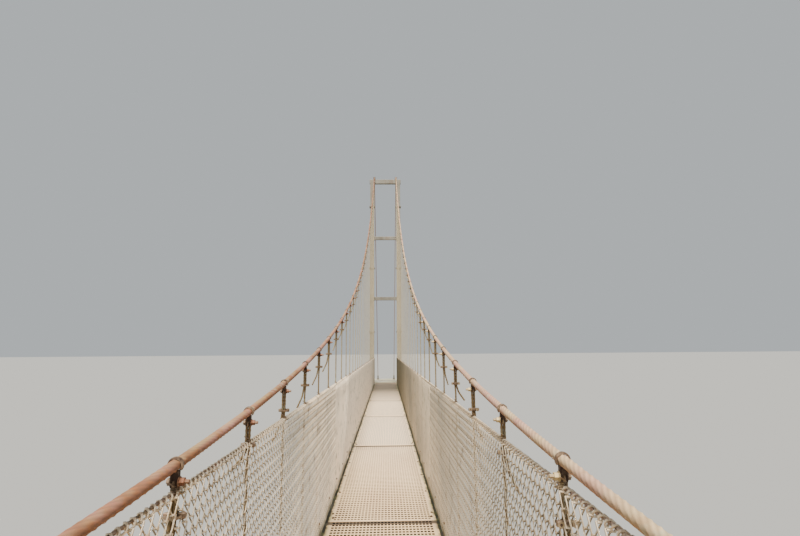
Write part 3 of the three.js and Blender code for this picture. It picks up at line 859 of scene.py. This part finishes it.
def fitting_finish(name, colours, zinc_left):
    """Forged and galvanised fittings: dull zinc where it holds, dark brown rust elsewhere."""
    skin = Finish(name, colours.dark_rust)
    add = skin.add
    zinc = add("ShaderNodeAttribute", attribute_name="zinc").outputs["Fac"]
    blotch = add("ShaderNodeTexNoise", {"Vector": skin.place, "Scale": 120.0, "Detail": 3.0})
    swing = add("ShaderNodeMath", blotch, 0.5, operation="SUBTRACT")
    share = add("ShaderNodeMath", zinc, swing, operation="ADD", use_clamp=True)
    skin.stain("#8A745C", add("ShaderNodeMapRange", share, 0.0, 0.45))
    skin.stain(zinc_left, add("ShaderNodeMapRange", share, 0.45, 0.9))
    return skin.finish(0.62, 0.35, blotch, 0.4, 0.001)


def painted_steel_finish(name, base, stained):
    """Galvanised structural steel gone dull: brown water streaks down its faces, algae on top."""
    skin = Finish(name, base)
    skin.stain("#6F6A5E", skin.patches(2.4, 0.35, 0.7))
    skin.stain("#6B4C33", skin.patches(9.0, 0.5, 0.74, stretch=(1.0, 1.0, 0.08)), 0.45)
    shelf = skin.add("ShaderNodeMapRange", skin.up, 0.4, 0.9, 0.0, stained)
    skin.stain("#1C1B0C", shelf, skin.patches(14.0, 0.25, 0.5))
    skin.stain("#565A1E", shelf, skin.patches(38.0, 0.52, 0.66, detail=6.0), 0.7)
    grain = skin.add("ShaderNodeTexNoise", {"Vector": skin.place, "Scale": 160.0, "Detail": 4.0})
    return skin.finish(0.58, 0.4, grain, 0.2, 0.001)


def concrete_finish(colours):
    """Board-marked cast concrete: pores, board joints each 150 mm, rain streaks, green tops."""
    skin = Finish("board_marked_concrete", colours.concrete)
    add = skin.add
    skin.stain("#8B8577", skin.patches(1.8, 0.3, 0.72, detail=6.0))
    skin.stain("#5F5B4C", skin.patches(7.0, 0.5, 0.7, stretch=(1.0, 1.0, 0.1)), 0.5)
    shelf = add("ShaderNodeMapRange", skin.up, 0.5, 0.9, 0.0, 0.6)
    skin.stain(colours.stain, shelf, skin.patches(5.0, 0.42, 0.62, detail=6.0))
    board = add("ShaderNodeMath", skin.axes["Z"], real(150), operation="DIVIDE")
    board = add("ShaderNodeMath", board, 0.5, operation="PINGPONG")
    board = add("ShaderNodeMapRange", board, 0.0, 0.03)
    pores = add("ShaderNodeTexNoise", {"Vector": skin.place, "Scale": 45.0, "Detail": 6.0})
    relief = add("ShaderNodeMath", board, 0.6, pores, operation="MULTIPLY_ADD")
    return skin.finish(0.9, 0.0, relief, 0.5, 0.004)


# Lines that the ropes follow


def cable_height(y):
    return CABLE_LOW + CABLE_RISE * y * y


SADDLE_CENTRE_Z = cable_height(SADDLE_START_Y) - SADDLE_RADIUS * math.cos(SADDLE_START_SLOPE)


def rope_height(y):
    """The fence's top rope: level, but just under the main cable where that hangs lowest."""
    return min(TOP_ROPE_Z, cable_height(y) - TOP_ROPE_UNDER_CABLE)


def racked(y, end):
    """How much of its racking the middle roll has at a place: none at mid-span and at its ends."""
    return max(-1, min(1, y / real(1600), (end - abs(y)) / real(2000)))


def between(first, last, count):
    return [first + (last - first) * i / count for i in range(count + 1)]


def cable_line(x, first, last, step):
    """The parabola of a main cable between two places along the bridge."""
    places = between(first, last, max(1, round((last - first) / step)))
    return [(x, y, cable_height(y)) for y in places]


def on_saddle(angle):
    """Where a main cable is along and up, at an angle from the top of its saddle."""
    return (TOWER_Y + SADDLE_RADIUS * math.sin(angle),
            SADDLE_CENTRE_Z + SADDLE_RADIUS * math.cos(angle))


def end_line(x, first, end):
    """A main cable from the parabola over one saddle and down its backstay."""
    line = cable_line(x, first, SADDLE_START_Y, real(500))
    for angle in between(-SADDLE_START_SLOPE, BACKSTAY_ANGLE, SADDLE_STEPS)[1:]:
        line.append((x, *on_saddle(angle)))
    _, y, z = line[-1]
    for run in between(0, BACKSTAY_LENGTH, BACKSTAY_STEPS)[1:]:
        line.append((x, y + run * math.cos(BACKSTAY_ANGLE), z - run * math.sin(BACKSTAY_ANGLE)))
    return [(px, end * py, pz) for px, py, pz in line]


# Fittings, in millimetres of the real bridge


def collar():
    """The band that hugs the main cable, drawn in to its two ears underneath."""
    part = Fitting()
    inner, outer, half = 16.6, 22.4, 6.5
    section = ((inner, -half), (outer, -half * 0.7), (outer, half * 0.7), (inner, half))
    part.sweep([
        [(radius * math.sin(a), y, radius * math.cos(a)) for radius, y in section]
        for a in map(math.radians, between(-128, 128, 14))], 0.2)
    return part.finish("collar")


def hanger_lug():
    """Cheeks under the collar with the bolt that carries the hanger's eye; its nut is inside."""
    part = Fitting()
    for side in BOTH:
        part.block((side * 8 - 3, -11, -58), (side * 8 + 3, 11, -13), 0.0, 2)
    part.block((-6, -8, -40), (6, 8, -17), 0.0)
    # Bolt, nut, washer and head
    for x, radius, length, zinc, sides in (
            (-9, 6, 62, 0.7, 8), (-21, 11.5, 13, 1.1, 6), (-13, 14.5, 3, 0.8, 10),
            (15, 11, 8, 0.3, 6)):
        part.prism((x, 0, -44), ACROSS, radius, length, zinc, sides)
    # Thimble in the eye of the rope
    angles = [math.radians(200 - 27.5 * i) for i in range(9)]
    part.tube([(0, 10 * math.cos(a), -53 + 12 * math.sin(a)) for a in angles], 4.5, 0.4, 5)
    return part.finish("hanger_lug")


def rope_clip():
    """Wire rope clip: a forged saddle across two ropes, with a small U-bolt and its nuts."""
    part = Fitting()
    part.block((-31, -15, -9), (31, -5, 9), 0.25, 3)
    angles = [math.radians(150 - 30 * i) for i in range(5)]
    bow = [(20 * math.cos(a), 4 + 12 * math.sin(a), 0) for a in angles]
    part.tube([(-20, -24, 0), (-20, 2, 0), *bow, (20, 2, 0), (20, -24, 0)], 4.5, 0.45, 5)
    for side in BOTH:
        part.prism((side * 20, -19, 0), ALONG, 10, 9, 0.55)
    return part.finish("rope_clip")


def wire_tie():
    """Turns of thick tie wire that lash the top rope to a hanger, with a twisted end."""
    part = Fitting()
    turns, steps = 4, 7
    path = [
        (12 * math.cos(FULL_TURN * i / steps), 8.8 * math.sin(FULL_TURN * i / steps), z)
        for i, z in enumerate(between(-12, 12, turns * steps))]
    part.tube([*path, (2, -14, 20), (-12, -18, 30)], 2.8, 0.5, 3)
    return part.finish("wire_tie")


def dome_bolt(name, radius, height, zinc):
    part = Fitting()
    part.prism((0, 0, height * 0.25), UPWARD, radius * 1.35, height * 0.5, zinc, 10)
    part.prism((0, 0, height * 0.75), UPWARD, radius, height * 0.5, zinc, 8, radius * 0.55)
    return part.finish(name)


def stud(name, radius, height):
    """A threaded stud with its nut and washer."""
    part = Fitting()
    part.prism((0, 0, 2), UPWARD, radius * 1.9, 4, 0.6, 12)
    part.prism((0, 0, 4 + radius * 0.6), UPWARD, radius * 1.5, radius * 1.2, 0.55)
    part.prism((0, 0, height / 2), UPWARD, radius * 0.8, height, 0.45, 8)
    return part.finish(name)


def leg_flanges():
    """The two plates of a leg's bolted splice."""
    part = Fitting()
    for low in (-16, 2):
        part.block((-140, -140, low), (140, 140, low + 14), 0.4, 2)
    return part.finish("leg_flanges")


def flange_bolts():
    """Eight bolts round a leg's splice, with a head above and a nut below."""
    part = Fitting()
    for x in (-120, 0, 120):
        for y in (-120, 0, 120):
            if x or y:
                part.prism((x, y, 0), UPWARD, 7, 64)
                for z in (21, -22):
                    part.prism((x, y, z), UPWARD, 14, 11, 0.55)
    return part.finish("flange_bolts")


def brace_plate():
    """The end plate of a tower's brace, against the inner face of its leg."""
    part = Fitting()
    part.block((0, -96, -100), (12, 96, 100), 0.4, 2)
    return part.finish("brace_plate")


def brace_bolts():
    part = Fitting()
    for y in BOTH:
        for z in BOTH:
            place = (17, y * 78, z * 64)
            part.prism(place, ACROSS, 14, 11, 0.55)
            part.prism(place, ACROSS, 7, 26)
    return part.finish("brace_bolts")


def rope_keeper():
    """A strap over the rope in its saddle, bolted to a lug on each cheek."""
    part = Fitting()
    part.block((-54, -17, 17), (54, 17, 27), 0.3, 2)
    for side in BOTH:
        inner, outer = sorted((side * 35, side * 54))
        part.block((inner, -17, -26), (outer, 17, -4), 0.3, 2)
        part.prism((side * 45, 0, 4), UPWARD, 6, 72)
        for z in (32, -31):
            part.prism((side * 45, 0, z), UPWARD, 12, 10, 0.55)
    return part.finish("rope_keeper")


def plate(name, low, high, bevel, finish=None):
    """A plate between two corners, in metres of the model."""
    part = Fitting(1.0)
    part.block(low, high, 1.0, bevel)
    return part.finish(name, finish)


# Steps


class BRIDGE_OT_set_stage(bpy.types.Operator):
    """Set the camera at the walker's eye, the pale floor and the soft light"""
    bl_idname = "bridge.set_stage"
    bl_label = "Set Stage"

    def execute(self, context):
        scene = context.scene
        camera = bpy.data.cameras.new("walker")
        camera.sensor_width = 36
        camera.lens = 22.95
        camera.clip_start = 0.01
        camera.clip_end = 500
        eye = new_piece("walker", camera)
        # The walker looks a little up and to the right, with the head hardly tilted
        aim, rise, roll = math.radians(-1.56), math.radians(90 + 9.06), math.radians(-0.42)
        turn = (Euler((0, 0, aim)).to_matrix() @ Euler((rise, 0, 0)).to_matrix()
                @ Euler((0, 0, roll)).to_matrix())
        place = (real(44), real(754), DECK_TOP + real(1564))
        eye.matrix_world = Matrix.Translation(place) @ turn.to_4x4()
        scene.camera = eye

        reach = 150.0
        floor_mesh = bpy.data.meshes.new("floor")
        floor_mesh.from_pydata(
            [(-reach, -reach, 0), (reach, -reach, 0), (reach, reach, 0), (-reach, reach, 0)],
            [], [(0, 1, 2, 3)])
        floor = new_piece("floor", floor_mesh)
        floor_mesh.materials.append(
            Finish("studio_floor", scene.bridge_colours.floor).finish(0.9, 0.0))

        world = bpy.data.worlds.new("studio")
        world.use_nodes = True
        world.node_tree.nodes.clear()
        sky = add_node(
            world.node_tree, "ShaderNodeBackground", {"Color": "#DDE3E6", "Strength": 0.7})
        add_node(world.node_tree, "ShaderNodeOutputWorld", {"Surface": sky})
        scene.world = world
        sun = bpy.data.lights.new("overhead", "SUN")
        sun.energy = 10.5
        sun.angle = math.radians(20)
        sun.color = (1.0, 0.94, 0.86)
        lamp = new_piece("overhead", sun)
        lamp.rotation_euler = (math.radians(27), math.radians(-2), 0)
        lamp.location = (0, 0, 12)
        return {"FINISHED"}


class BRIDGE_OT_lay_deck(bpy.types.Operator):
    """Lay the perforated sheets and the plates at both banks, with their bolts"""
    bl_idname = "bridge.lay_deck"
    bl_label = "Lay Deck"

    def execute(self, context):
        sizes, colours = sizes_of(context)
        finish = deck_sheet_finish(colours)
        marked_finish = deck_sheet_finish(colours, marked=True)
        bolt_finish = fitting_finish("galvanised_bolts", colours, colours.zinc)
        bolts = fitting_tree()
        size = DECK_HIGH - DECK_LOW
        half_width, half_length = size.x / 2, size.y / 2
        depth = size.z + sizes.slot_collar

        # The near edge laps over the sheet before it
        lip = plate("sheet_lip", (-half_width, -half_length, -real(1)),
                    (half_width, real(32) - half_length, real(7)), real(1.5))
        margin = real(60)
        first_beam = math.ceil((DECK_LOW.y + margin) / sizes.bay)
        last_beam = math.floor((DECK_HIGH.y - margin) / sizes.bay)
        heads = [
            (side * real(476), beam * sizes.bay - SHEET_MIDDLE, 0)
            for beam in range(first_beam, last_beam + 1) for side in BOTH]
        beam_bolts = scatter(
            "beam_bolts", bolts, dome_bolt("beam_bolt", 9, 9, -0.2), bolt_finish, heads)
        corners = [(side * real(462), real(110) - half_length, 0) for side in BOTH]
        corner_bolts = scatter(
            "corner_bolts", bolts, dome_bolt("corner_bolt", 10, 12, -2.0), bolt_finish, corners)
        perforated = grow(
            "perforated_plate", perforated_tree(), Width=size.x, Length=size.y, Thickness=depth,
            Across=sizes.holes_across, Along=sizes.holes_along,
            PitchAcross=sizes.hole_pitch_across, PitchAlong=sizes.hole_pitch_along,
            HoleWidth=sizes.hole_width, HoleLength=sizes.hole_length, Shift=SLOT_SHIFT,
            Material=finish)
        plain = plate("plain_plate", (-half_width, -half_length, -depth),
                      (half_width, half_length, 0), real(1), marked_finish)
        sheets = {}
        for kind, body, skin in (("cut", perforated, finish), ("drawn", plain, marked_finish)):
            parts = [body] + [
                new_piece("part", part.data.copy()) for part in (lip, beam_bolts, corner_bolts)]
            parts[1].data.materials.append(skin)
            sheets[kind] = join("sheet", parts)
        discard(lip, beam_bolts, corner_bolts)

        for number in SHEET_NUMBERS:
            node = f"deck_sheet_{number:02d}"
            box_low, box_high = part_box(node)
            mesh = sheets["cut" if number in CUT_SHEETS else "drawn"].data.copy()
            mesh.transform(Matrix.Translation((0, (box_low.y + box_high.y) / 2, DECK_TOP)))
            install(new_piece(f"perforated_sheet_{number:02d}", mesh), "deck_sheet", node)
        discard(*sheets.values())

        for end in ENDS:
            box_low, box_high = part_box(f"end_plate_{end}")
            body = plate("end_plate_body", box_low, box_high, real(1.5), finish)
            heads = [
                (side * real(470), y, DECK_TOP)
                for y in between(box_low.y + real(80), box_high.y - real(80), 3) for side in BOTH]
            studs = scatter(
                "end_bolts", bolts, dome_bolt("end_bolt", 9, 7, 0.75), bolt_finish, heads)
            install(join(f"end_sheet_{end}", [body, studs]), "deck_sheet", f"end_plate_{end}")
        return {"FINISHED"}


class BRIDGE_OT_build_floor_frame(bpy.types.Operator):
    """Build the edge beams and the channel cross beams under the deck"""
    bl_idname = "bridge.build_floor_frame"
    bl_label = "Build Floor Frame"

    def execute(self, context):
        sizes = context.scene.bridge_sizes
        # Near black with algae and painted shade, for the dark gap beside the deck
        finish = painted_steel_finish("stained_floor_steel", "#21180E", 1.0)
        low, high = FRAME_LOW, FRAME_HIGH
        wall, half = real(5), real(20)
        top = high.z - sizes.slot_collar
        beam = Fitting(1.0)
        beam.block((-BEAM_INNER, -half, top - wall), (BEAM_INNER, half, top), 0.5, real(1))
        for web in (-half, half - wall):
            beam.block((-BEAM_INNER, web, low.z), (BEAM_INNER, web + wall, top - wall))
        places = [(0, k * sizes.bay, 0) for k in range(-HALF_HANGERS, HALF_HANGERS + 1)]
        beams = scatter("cross_beams", fitting_tree(), beam.finish("cross_beam"), finish, places)
        edges = Fitting(1.0)
        for side in BOTH:
            inner, outer = sorted((side * BEAM_INNER, side * high.x))
            edges.block((inner, low.y, low.z), (outer, high.y, high.z), 0.5, real(4))
        edges = edges.finish("edge_beams", finish)
        install(join("floor_steel", [beams, edges]), "frame_steel", "floor_frame")
        return {"FINISHED"}


class BRIDGE_OT_string_main_ropes(bpy.types.Operator):
    """String the two main ropes from anchor to anchor"""
    bl_idname = "bridge.string_main_ropes"
    bl_label = "String Main Ropes"

    def execute(self, context):
        sizes, colours = sizes_of(context)
        laid, smooth = rope_tree(), smooth_rope_tree()
        seen = ROPE_STRANDS_END * sizes.bay
        for hand, side in HANDS.items():
            x = side * CABLE_X
            values = {"Radius": sizes.main_rope_radius, "Lay": sizes.main_rope_lay,
                      "Material": main_rope_finish(hand, colours)}
            line = wire_mesh("rope_line", [cable_line(x, -seen, seen, real(250))])
            rope = [grow("rope_middle", laid, line, Step=real(12), Depth=0.89,
                         Strands=sizes.strands, **values)]
            for end in ENDS.values():
                line = wire_mesh("rope_line", [end_line(x, seen, end)])
                rope.append(grow("rope_end", smooth, line, Sides=12, **values))
            install(join(f"main_rope_{hand}", rope), "main_rope", f"main_cable_{hand}")
        return {"FINISHED"}


class BRIDGE_OT_hang_ropes(bpy.types.Operator):
    """Hang the hanger ropes with their clamps and clips, and the top rope with its ties"""
    bl_idname = "bridge.hang_ropes"
    bl_label = "Hang Ropes"

    def execute(self, context):
        sizes, colours = sizes_of(context)
        ropes, smooth = rope_tree(), smooth_rope_tree()
        fittings = fitting_tree()
        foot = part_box("hangers_left_middle")[0].z
        foot_eye, foot_clip = foot + real(10), foot + real(150)
        for hand, side in HANDS.items():
            draw = random.Random(11 + side)
            finish = old_rope_finish(
                f"old_hanger_rope_{hand}", colours, 0.3, "#C4B795", pink=0.0,
                midspan_colour="#867048", rust="#5E4226")
            top_finish = old_rope_finish(
                f"old_top_rope_{hand}", colours, 0.1, "#E8D6BA" if side > 0 else "#B4A68A",
                pink=0.6)
            steel = fitting_finish(
                f"forged_fittings_{hand}", colours, "#BCA87C" if side > 0 else "#744A31")
            x = side * CABLE_X
            tie_x = x - side * real(2)
            # The two legs of a looped rope lie this far to each side of its line
            out = side * real(6)
            close, distant, places, clips, turns = [], [], [], [], []
            for k in range(-HALF_HANGERS, HALF_HANGERS + 1):
                y = k * sizes.bay
                cable = cable_height(y)
                eye = cable - real(56)
                clip = cable - real(draw.uniform(125, 180))
                lines = close if abs(k) <= HANGER_STRANDS_END else distant
                # The carrying rope, from its eye at the shackle to its eye at the floor frame
                lines.append([(x - out, y, eye), (x - out * 0.9, y, clip), (x, y, clip - real(60)),
                              (x, y, foot_clip), (x - out, y, foot_eye)])
                # The turned-back end, which splays from under the clip
                tail = real(draw.uniform(90, 190))
                splay = side * real(draw.uniform(25, 60))
                lean = real(draw.uniform(-25, 25))
                lines.append([(x + out, y, eye), (x + out, y, clip - real(15)),
                              (x + out + splay * 0.25, y + lean * 0.3, clip - tail * 0.5),
                              (x + out + splay, y + lean, clip - tail)])
                lines.append([(x + out, y, foot_eye), (x + out, y, foot_clip),
                              (x + out * 1.8, y, foot_clip + real(70))])
                slope = math.atan(2 * CABLE_RISE * y)
                places.append((x, y, cable))
                turns.append((slope if side > 0 else -slope, 0, 0 if side > 0 else math.pi))
                clips += [(x, y, clip), (x, y, foot_clip)]
            values = {"Radius": sizes.hanger_radius, "Lay": real(80), "Material": finish}
            hangers = join(f"hanger_ropes_{hand}", [
                grow("close_hangers", ropes, wire_mesh("lines", close), Depth=0.84,
                     Step=real(20), Strands=sizes.strands, **values),
                grow("distant_hangers", smooth, wire_mesh("lines", distant), Sides=7, **values)])
            install(hangers, "hanger_rope", *(f"hangers_{hand}_{part}" for part in PARTS))

            level = [(0, 0, 0 if side > 0 else math.pi)] * len(places)
            metal = [
                scatter("collars", fittings, collar(), steel, places, turns),
                scatter("lugs", fittings, hanger_lug(), steel, places, level),
                scatter("clips", fittings, rope_clip(), steel, clips, level * 2)]
            install(join(f"rope_fittings_{hand}", metal), "hanger_rope")
            roll = [corner.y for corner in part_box(f"fence_{hand}_middle")]
            top_rope = self.top_rope(sizes, x, roll, ropes, smooth, top_finish)
            lacing = self.lacing(tie_x, roll, galvanised_wire_finish(colours))
            ties = scatter("ties", fittings, wire_tie(), steel,
                           [(tie_x, y, rope_height(y)) for _, y, _ in places])
            install(join(f"top_rope_{hand}", [top_rope, lacing, ties]), "hanger_rope")
        return {"FINISHED"}

    def top_rope(self, sizes, x, roll, ropes, smooth, finish):
        """The rope along a fence, laid over the middle roll and smooth past it."""
        near, far = roll
        values = {"Radius": sizes.top_rope_radius, "Lay": real(70), "Material": finish}
        middle, *ends = (
            [(x, y, rope_height(y)) for y in between(first, last, 60)]
            for first, last in ((near, far), (-TOP_ROPE_END, near), (far, TOP_ROPE_END)))
        return join("top_rope", [
            grow("laid", ropes, wire_mesh("line", [middle]), Depth=0.85, Strands=3,
                 Step=real(30), **values),
            grow("smooth", smooth, wire_mesh("line", ends), Sides=6, **values)])

    def lacing(self, x, roll, wire):
        """The wire that laces the middle roll to the top rope."""
        near, far = roll
        reach = far - near
        turns = round(reach / real(34))
        lacing = grow(
            "lacing", lacing_tree(), Length=reach, Pitch=reach / turns, Points=turns * 7 + 1,
            Reach=real(9), Drop=real(10.5), Wire=real(3.8), Material=wire,
            Start=(x, near, TOP_ROPE_Z - real(3)))
        for vertex in lacing.data.vertices:
            vertex.co.z += rope_height(vertex.co.y) - TOP_ROPE_Z
        return lacing


class BRIDGE_OT_weave_fences(bpy.types.Operator):
    """Weave the three rolls of chain-link mesh on each side"""
    bl_idname = "bridge.weave_fences"
    bl_label = "Weave Fences"

    def execute(self, context):
        sizes, colours = sizes_of(context)
        finish = galvanised_wire_finish(colours, woven=True)
        weave, diagonals = mesh_weave_tree(), mesh_diagonal_tree()
        wide, tall = sizes.mesh_half_width, sizes.mesh_half_height
        height = MESH_TOP - MESH_BOTTOM
        lean = wide / tall
        rows = 2 * round(height / tall / 2) + 1
        for hand, side in HANDS.items():
            for part in PARTS:
                node = f"fence_{hand}_{part}"
                low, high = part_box(node)
                # The mesh hangs a little nearer the walkway than the middle of its solid
                x = (low.x + high.x) / 2 - side * real(6)
                length = high.y - low.y
                name = f"chain_link_{hand}_{part}"
                # Each wire's three-sided section has a ridge towards the walkway
                shared = {"Wave": sizes.mesh_wave, "Depth": side * sizes.mesh_depth,
                          "Turn": math.pi if side > 0 else 0.0, "Material": finish}
                plain = [(low.y, high.y)]
                pieces = []
                if part == "middle":
                    count = 2 * (int(length / wide) // 2)
                    across = length / count
                    woven = 2 * round(COILS_END * sizes.bay / across)
                    start = low.y + (count - woven) // 2 * across
                    pieces.append(grow(
                        name, weave, Strands=woven, Rows=rows, Across=across,
                        Up=height / (rows - 1), Wire=sizes.mesh_wire_radius,
                        Start=(x, start, MESH_BOTTOM), **shared))
                    plain = [(low.y, start), (start + woven * across, high.y)]
                # Straight wires are a little thicker, to be as dense as the coils from further off
                for first, last in plain:
                    run = (last - first) / lean
                    pieces.append(grow(
                        name, diagonals, Length=run, Height=height, Lean=lean,
                        Wires=int((run + height) / (2 * tall)), Pitch=2 * tall, Points=5,
                        Wire=1.12 * sizes.mesh_wire_radius, Start=(x, first, MESH_BOTTOM),
                        **shared))
                mesh = join(name, pieces)
                # The head of the mesh dips with the top rope
                for vertex in mesh.data.vertices:
                    place = vertex.co
                    share = (place.z - MESH_BOTTOM) / height
                    place.z += (rope_height(place.y) - TOP_ROPE_Z) * max(share, 0) ** 3
                    if part == "middle":
                        place.y += RACKING * (MESH_BOTTOM - place.z) * racked(place.y, high.y)
                install(mesh, "chain_link", node)
        return {"FINISHED"}


class BRIDGE_OT_raise_towers(bpy.types.Operator):
    """Raise the towers with their saddles, and set the anchors of the main ropes"""
    bl_idname = "bridge.raise_towers"
    bl_label = "Raise Towers"

    def execute(self, context):
        colours = context.scene.bridge_colours
        finish = painted_steel_finish("weathered_tower_steel", colours.tower, 0.5)
        bolt_finish = fitting_finish("galvanised_bolts", colours, colours.zinc)
        fittings = fitting_tree()
        for end, way in ENDS.items():
            tower = dressed(f"tower_{end}", finish, real(8))
            low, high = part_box(f"tower_{end}")
            plate_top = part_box(f"abutment_{end}")[1].z + real(24.6)
            middle = (low.y + high.y) / 2
            nuts = [
                (side * (LEG_X + dx * FOOT_BOLT_REACH), middle + dy * FOOT_BOLT_REACH, plate_top)
                for side in BOTH for dx in BOTH for dy in BOTH]
            splices = [
                (side * LEG_X, middle, DECK_TOP + height)
                for side in BOTH for height in SPLICE_HEIGHTS]
            ends = [
                (side * (LEG_X - LEG_HALF), middle, DECK_TOP + height)
                for side in BOTH for height in BRACE_HEIGHTS]
            turns = [(0, 0, 0 if x < 0 else math.pi) for x, _, _ in ends]
            steel = [
                tower,
                scatter("leg_flanges", fittings, leg_flanges(), finish, splices),
                scatter("flange_bolts", fittings, flange_bolts(), bolt_finish, splices),
                scatter("brace_plates", fittings, brace_plate(), finish, ends, turns),
                scatter("brace_bolts", fittings, brace_bolts(), bolt_finish, ends, turns),
                scatter("foot_nuts", fittings, stud("foot_nut", 12, 60), bolt_finish, nuts)]
            install(join(f"steel_tower_{end}", steel), "tower_steel", f"tower_{end}")
            for hand, side in HANDS.items():
                angles = [-KEEPER_ANGLE, KEEPER_ANGLE]
                arc = [on_saddle(a) for a in angles]
                keepers = scatter(
                    "rope_keepers", fittings, rope_keeper(), bolt_finish,
                    [(side * CABLE_X, way * y, z) for y, z in arc],
                    [(-way * a, 0, 0) for a in angles])
                low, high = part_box(f"cable_anchor_{end}_{hand}")
                corners = [
                    ((low.x + high.x) / 2 + dx * real(58), (low.y + high.y) / 2 + dy * real(184),
                     low.z + real(24)) for dx in BOTH for dy in BOTH]
                holders = scatter(
                    "anchor_nuts", fittings, stud("anchor_nut", 11, 54), bolt_finish, corners)
                for kind, extras in (("saddle", keepers), ("cable_anchor", holders)):
                    node = f"{kind}_{end}_{hand}"
                    body = dressed(node, finish, real(3), f"steel_{node}")
                    install(join(body.name, [body, extras]), "tower_steel", node)
        return {"FINISHED"}


class BRIDGE_OT_cast_concrete(bpy.types.Operator):
    """Cast the abutments and the anchor blocks"""
    bl_idname = "bridge.cast_concrete"
    bl_label = "Cast Concrete"

    def execute(self, context):
        finish = concrete_finish(context.scene.bridge_colours)
        for end in ENDS:
            for kind in ("abutment", "anchor_block"):
                node = f"{kind}_{end}"
                install(dressed(node, finish, real(18), f"concrete_{node}"), "concrete", node)
        return {"FINISHED"}


STEPS = (
    BRIDGE_OT_set_stage, BRIDGE_OT_lay_deck, BRIDGE_OT_build_floor_frame,
    BRIDGE_OT_string_main_ropes, BRIDGE_OT_hang_ropes, BRIDGE_OT_weave_fences,
    BRIDGE_OT_raise_towers, BRIDGE_OT_cast_concrete)


class BRIDGE_PT_footbridge(bpy.types.Panel):
    """The bridge's sizes, colours and building steps"""
    bl_idname = "BRIDGE_PT_footbridge"
    bl_label = "Footbridge"
    bl_space_type = "VIEW_3D"
    bl_region_type = "UI"
    bl_category = "Footbridge"

    def draw(self, context):
        for group in sizes_of(context):
            for name in group.__annotations__:
                self.layout.prop(group, name)
        for step in STEPS:
            self.layout.operator(step.bl_idname)


CLASSES = (BridgeSizes, BridgeColours) + STEPS + (BRIDGE_PT_footbridge,)


def register():
    for item in CLASSES:
        bpy.utils.register_class(item)
    bpy.types.Scene.bridge_sizes = PointerProperty(type=BridgeSizes)
    bpy.types.Scene.bridge_colours = PointerProperty(type=BridgeColours)


def unregister():
    del bpy.types.Scene.bridge_colours
    del bpy.types.Scene.bridge_sizes
    for item in reversed(CLASSES):
        bpy.utils.unregister_class(item)


def main():
    register()
    bpy.ops.bridge.set_stage()
    bpy.ops.bridge.lay_deck()
    bpy.ops.bridge.build_floor_frame()
    bpy.ops.bridge.string_main_ropes()
    bpy.ops.bridge.hang_ropes()
    bpy.ops.bridge.weave_fences()
    bpy.ops.bridge.raise_towers()
    bpy.ops.bridge.cast_concrete()


if __name__ == "__main__":
    main()
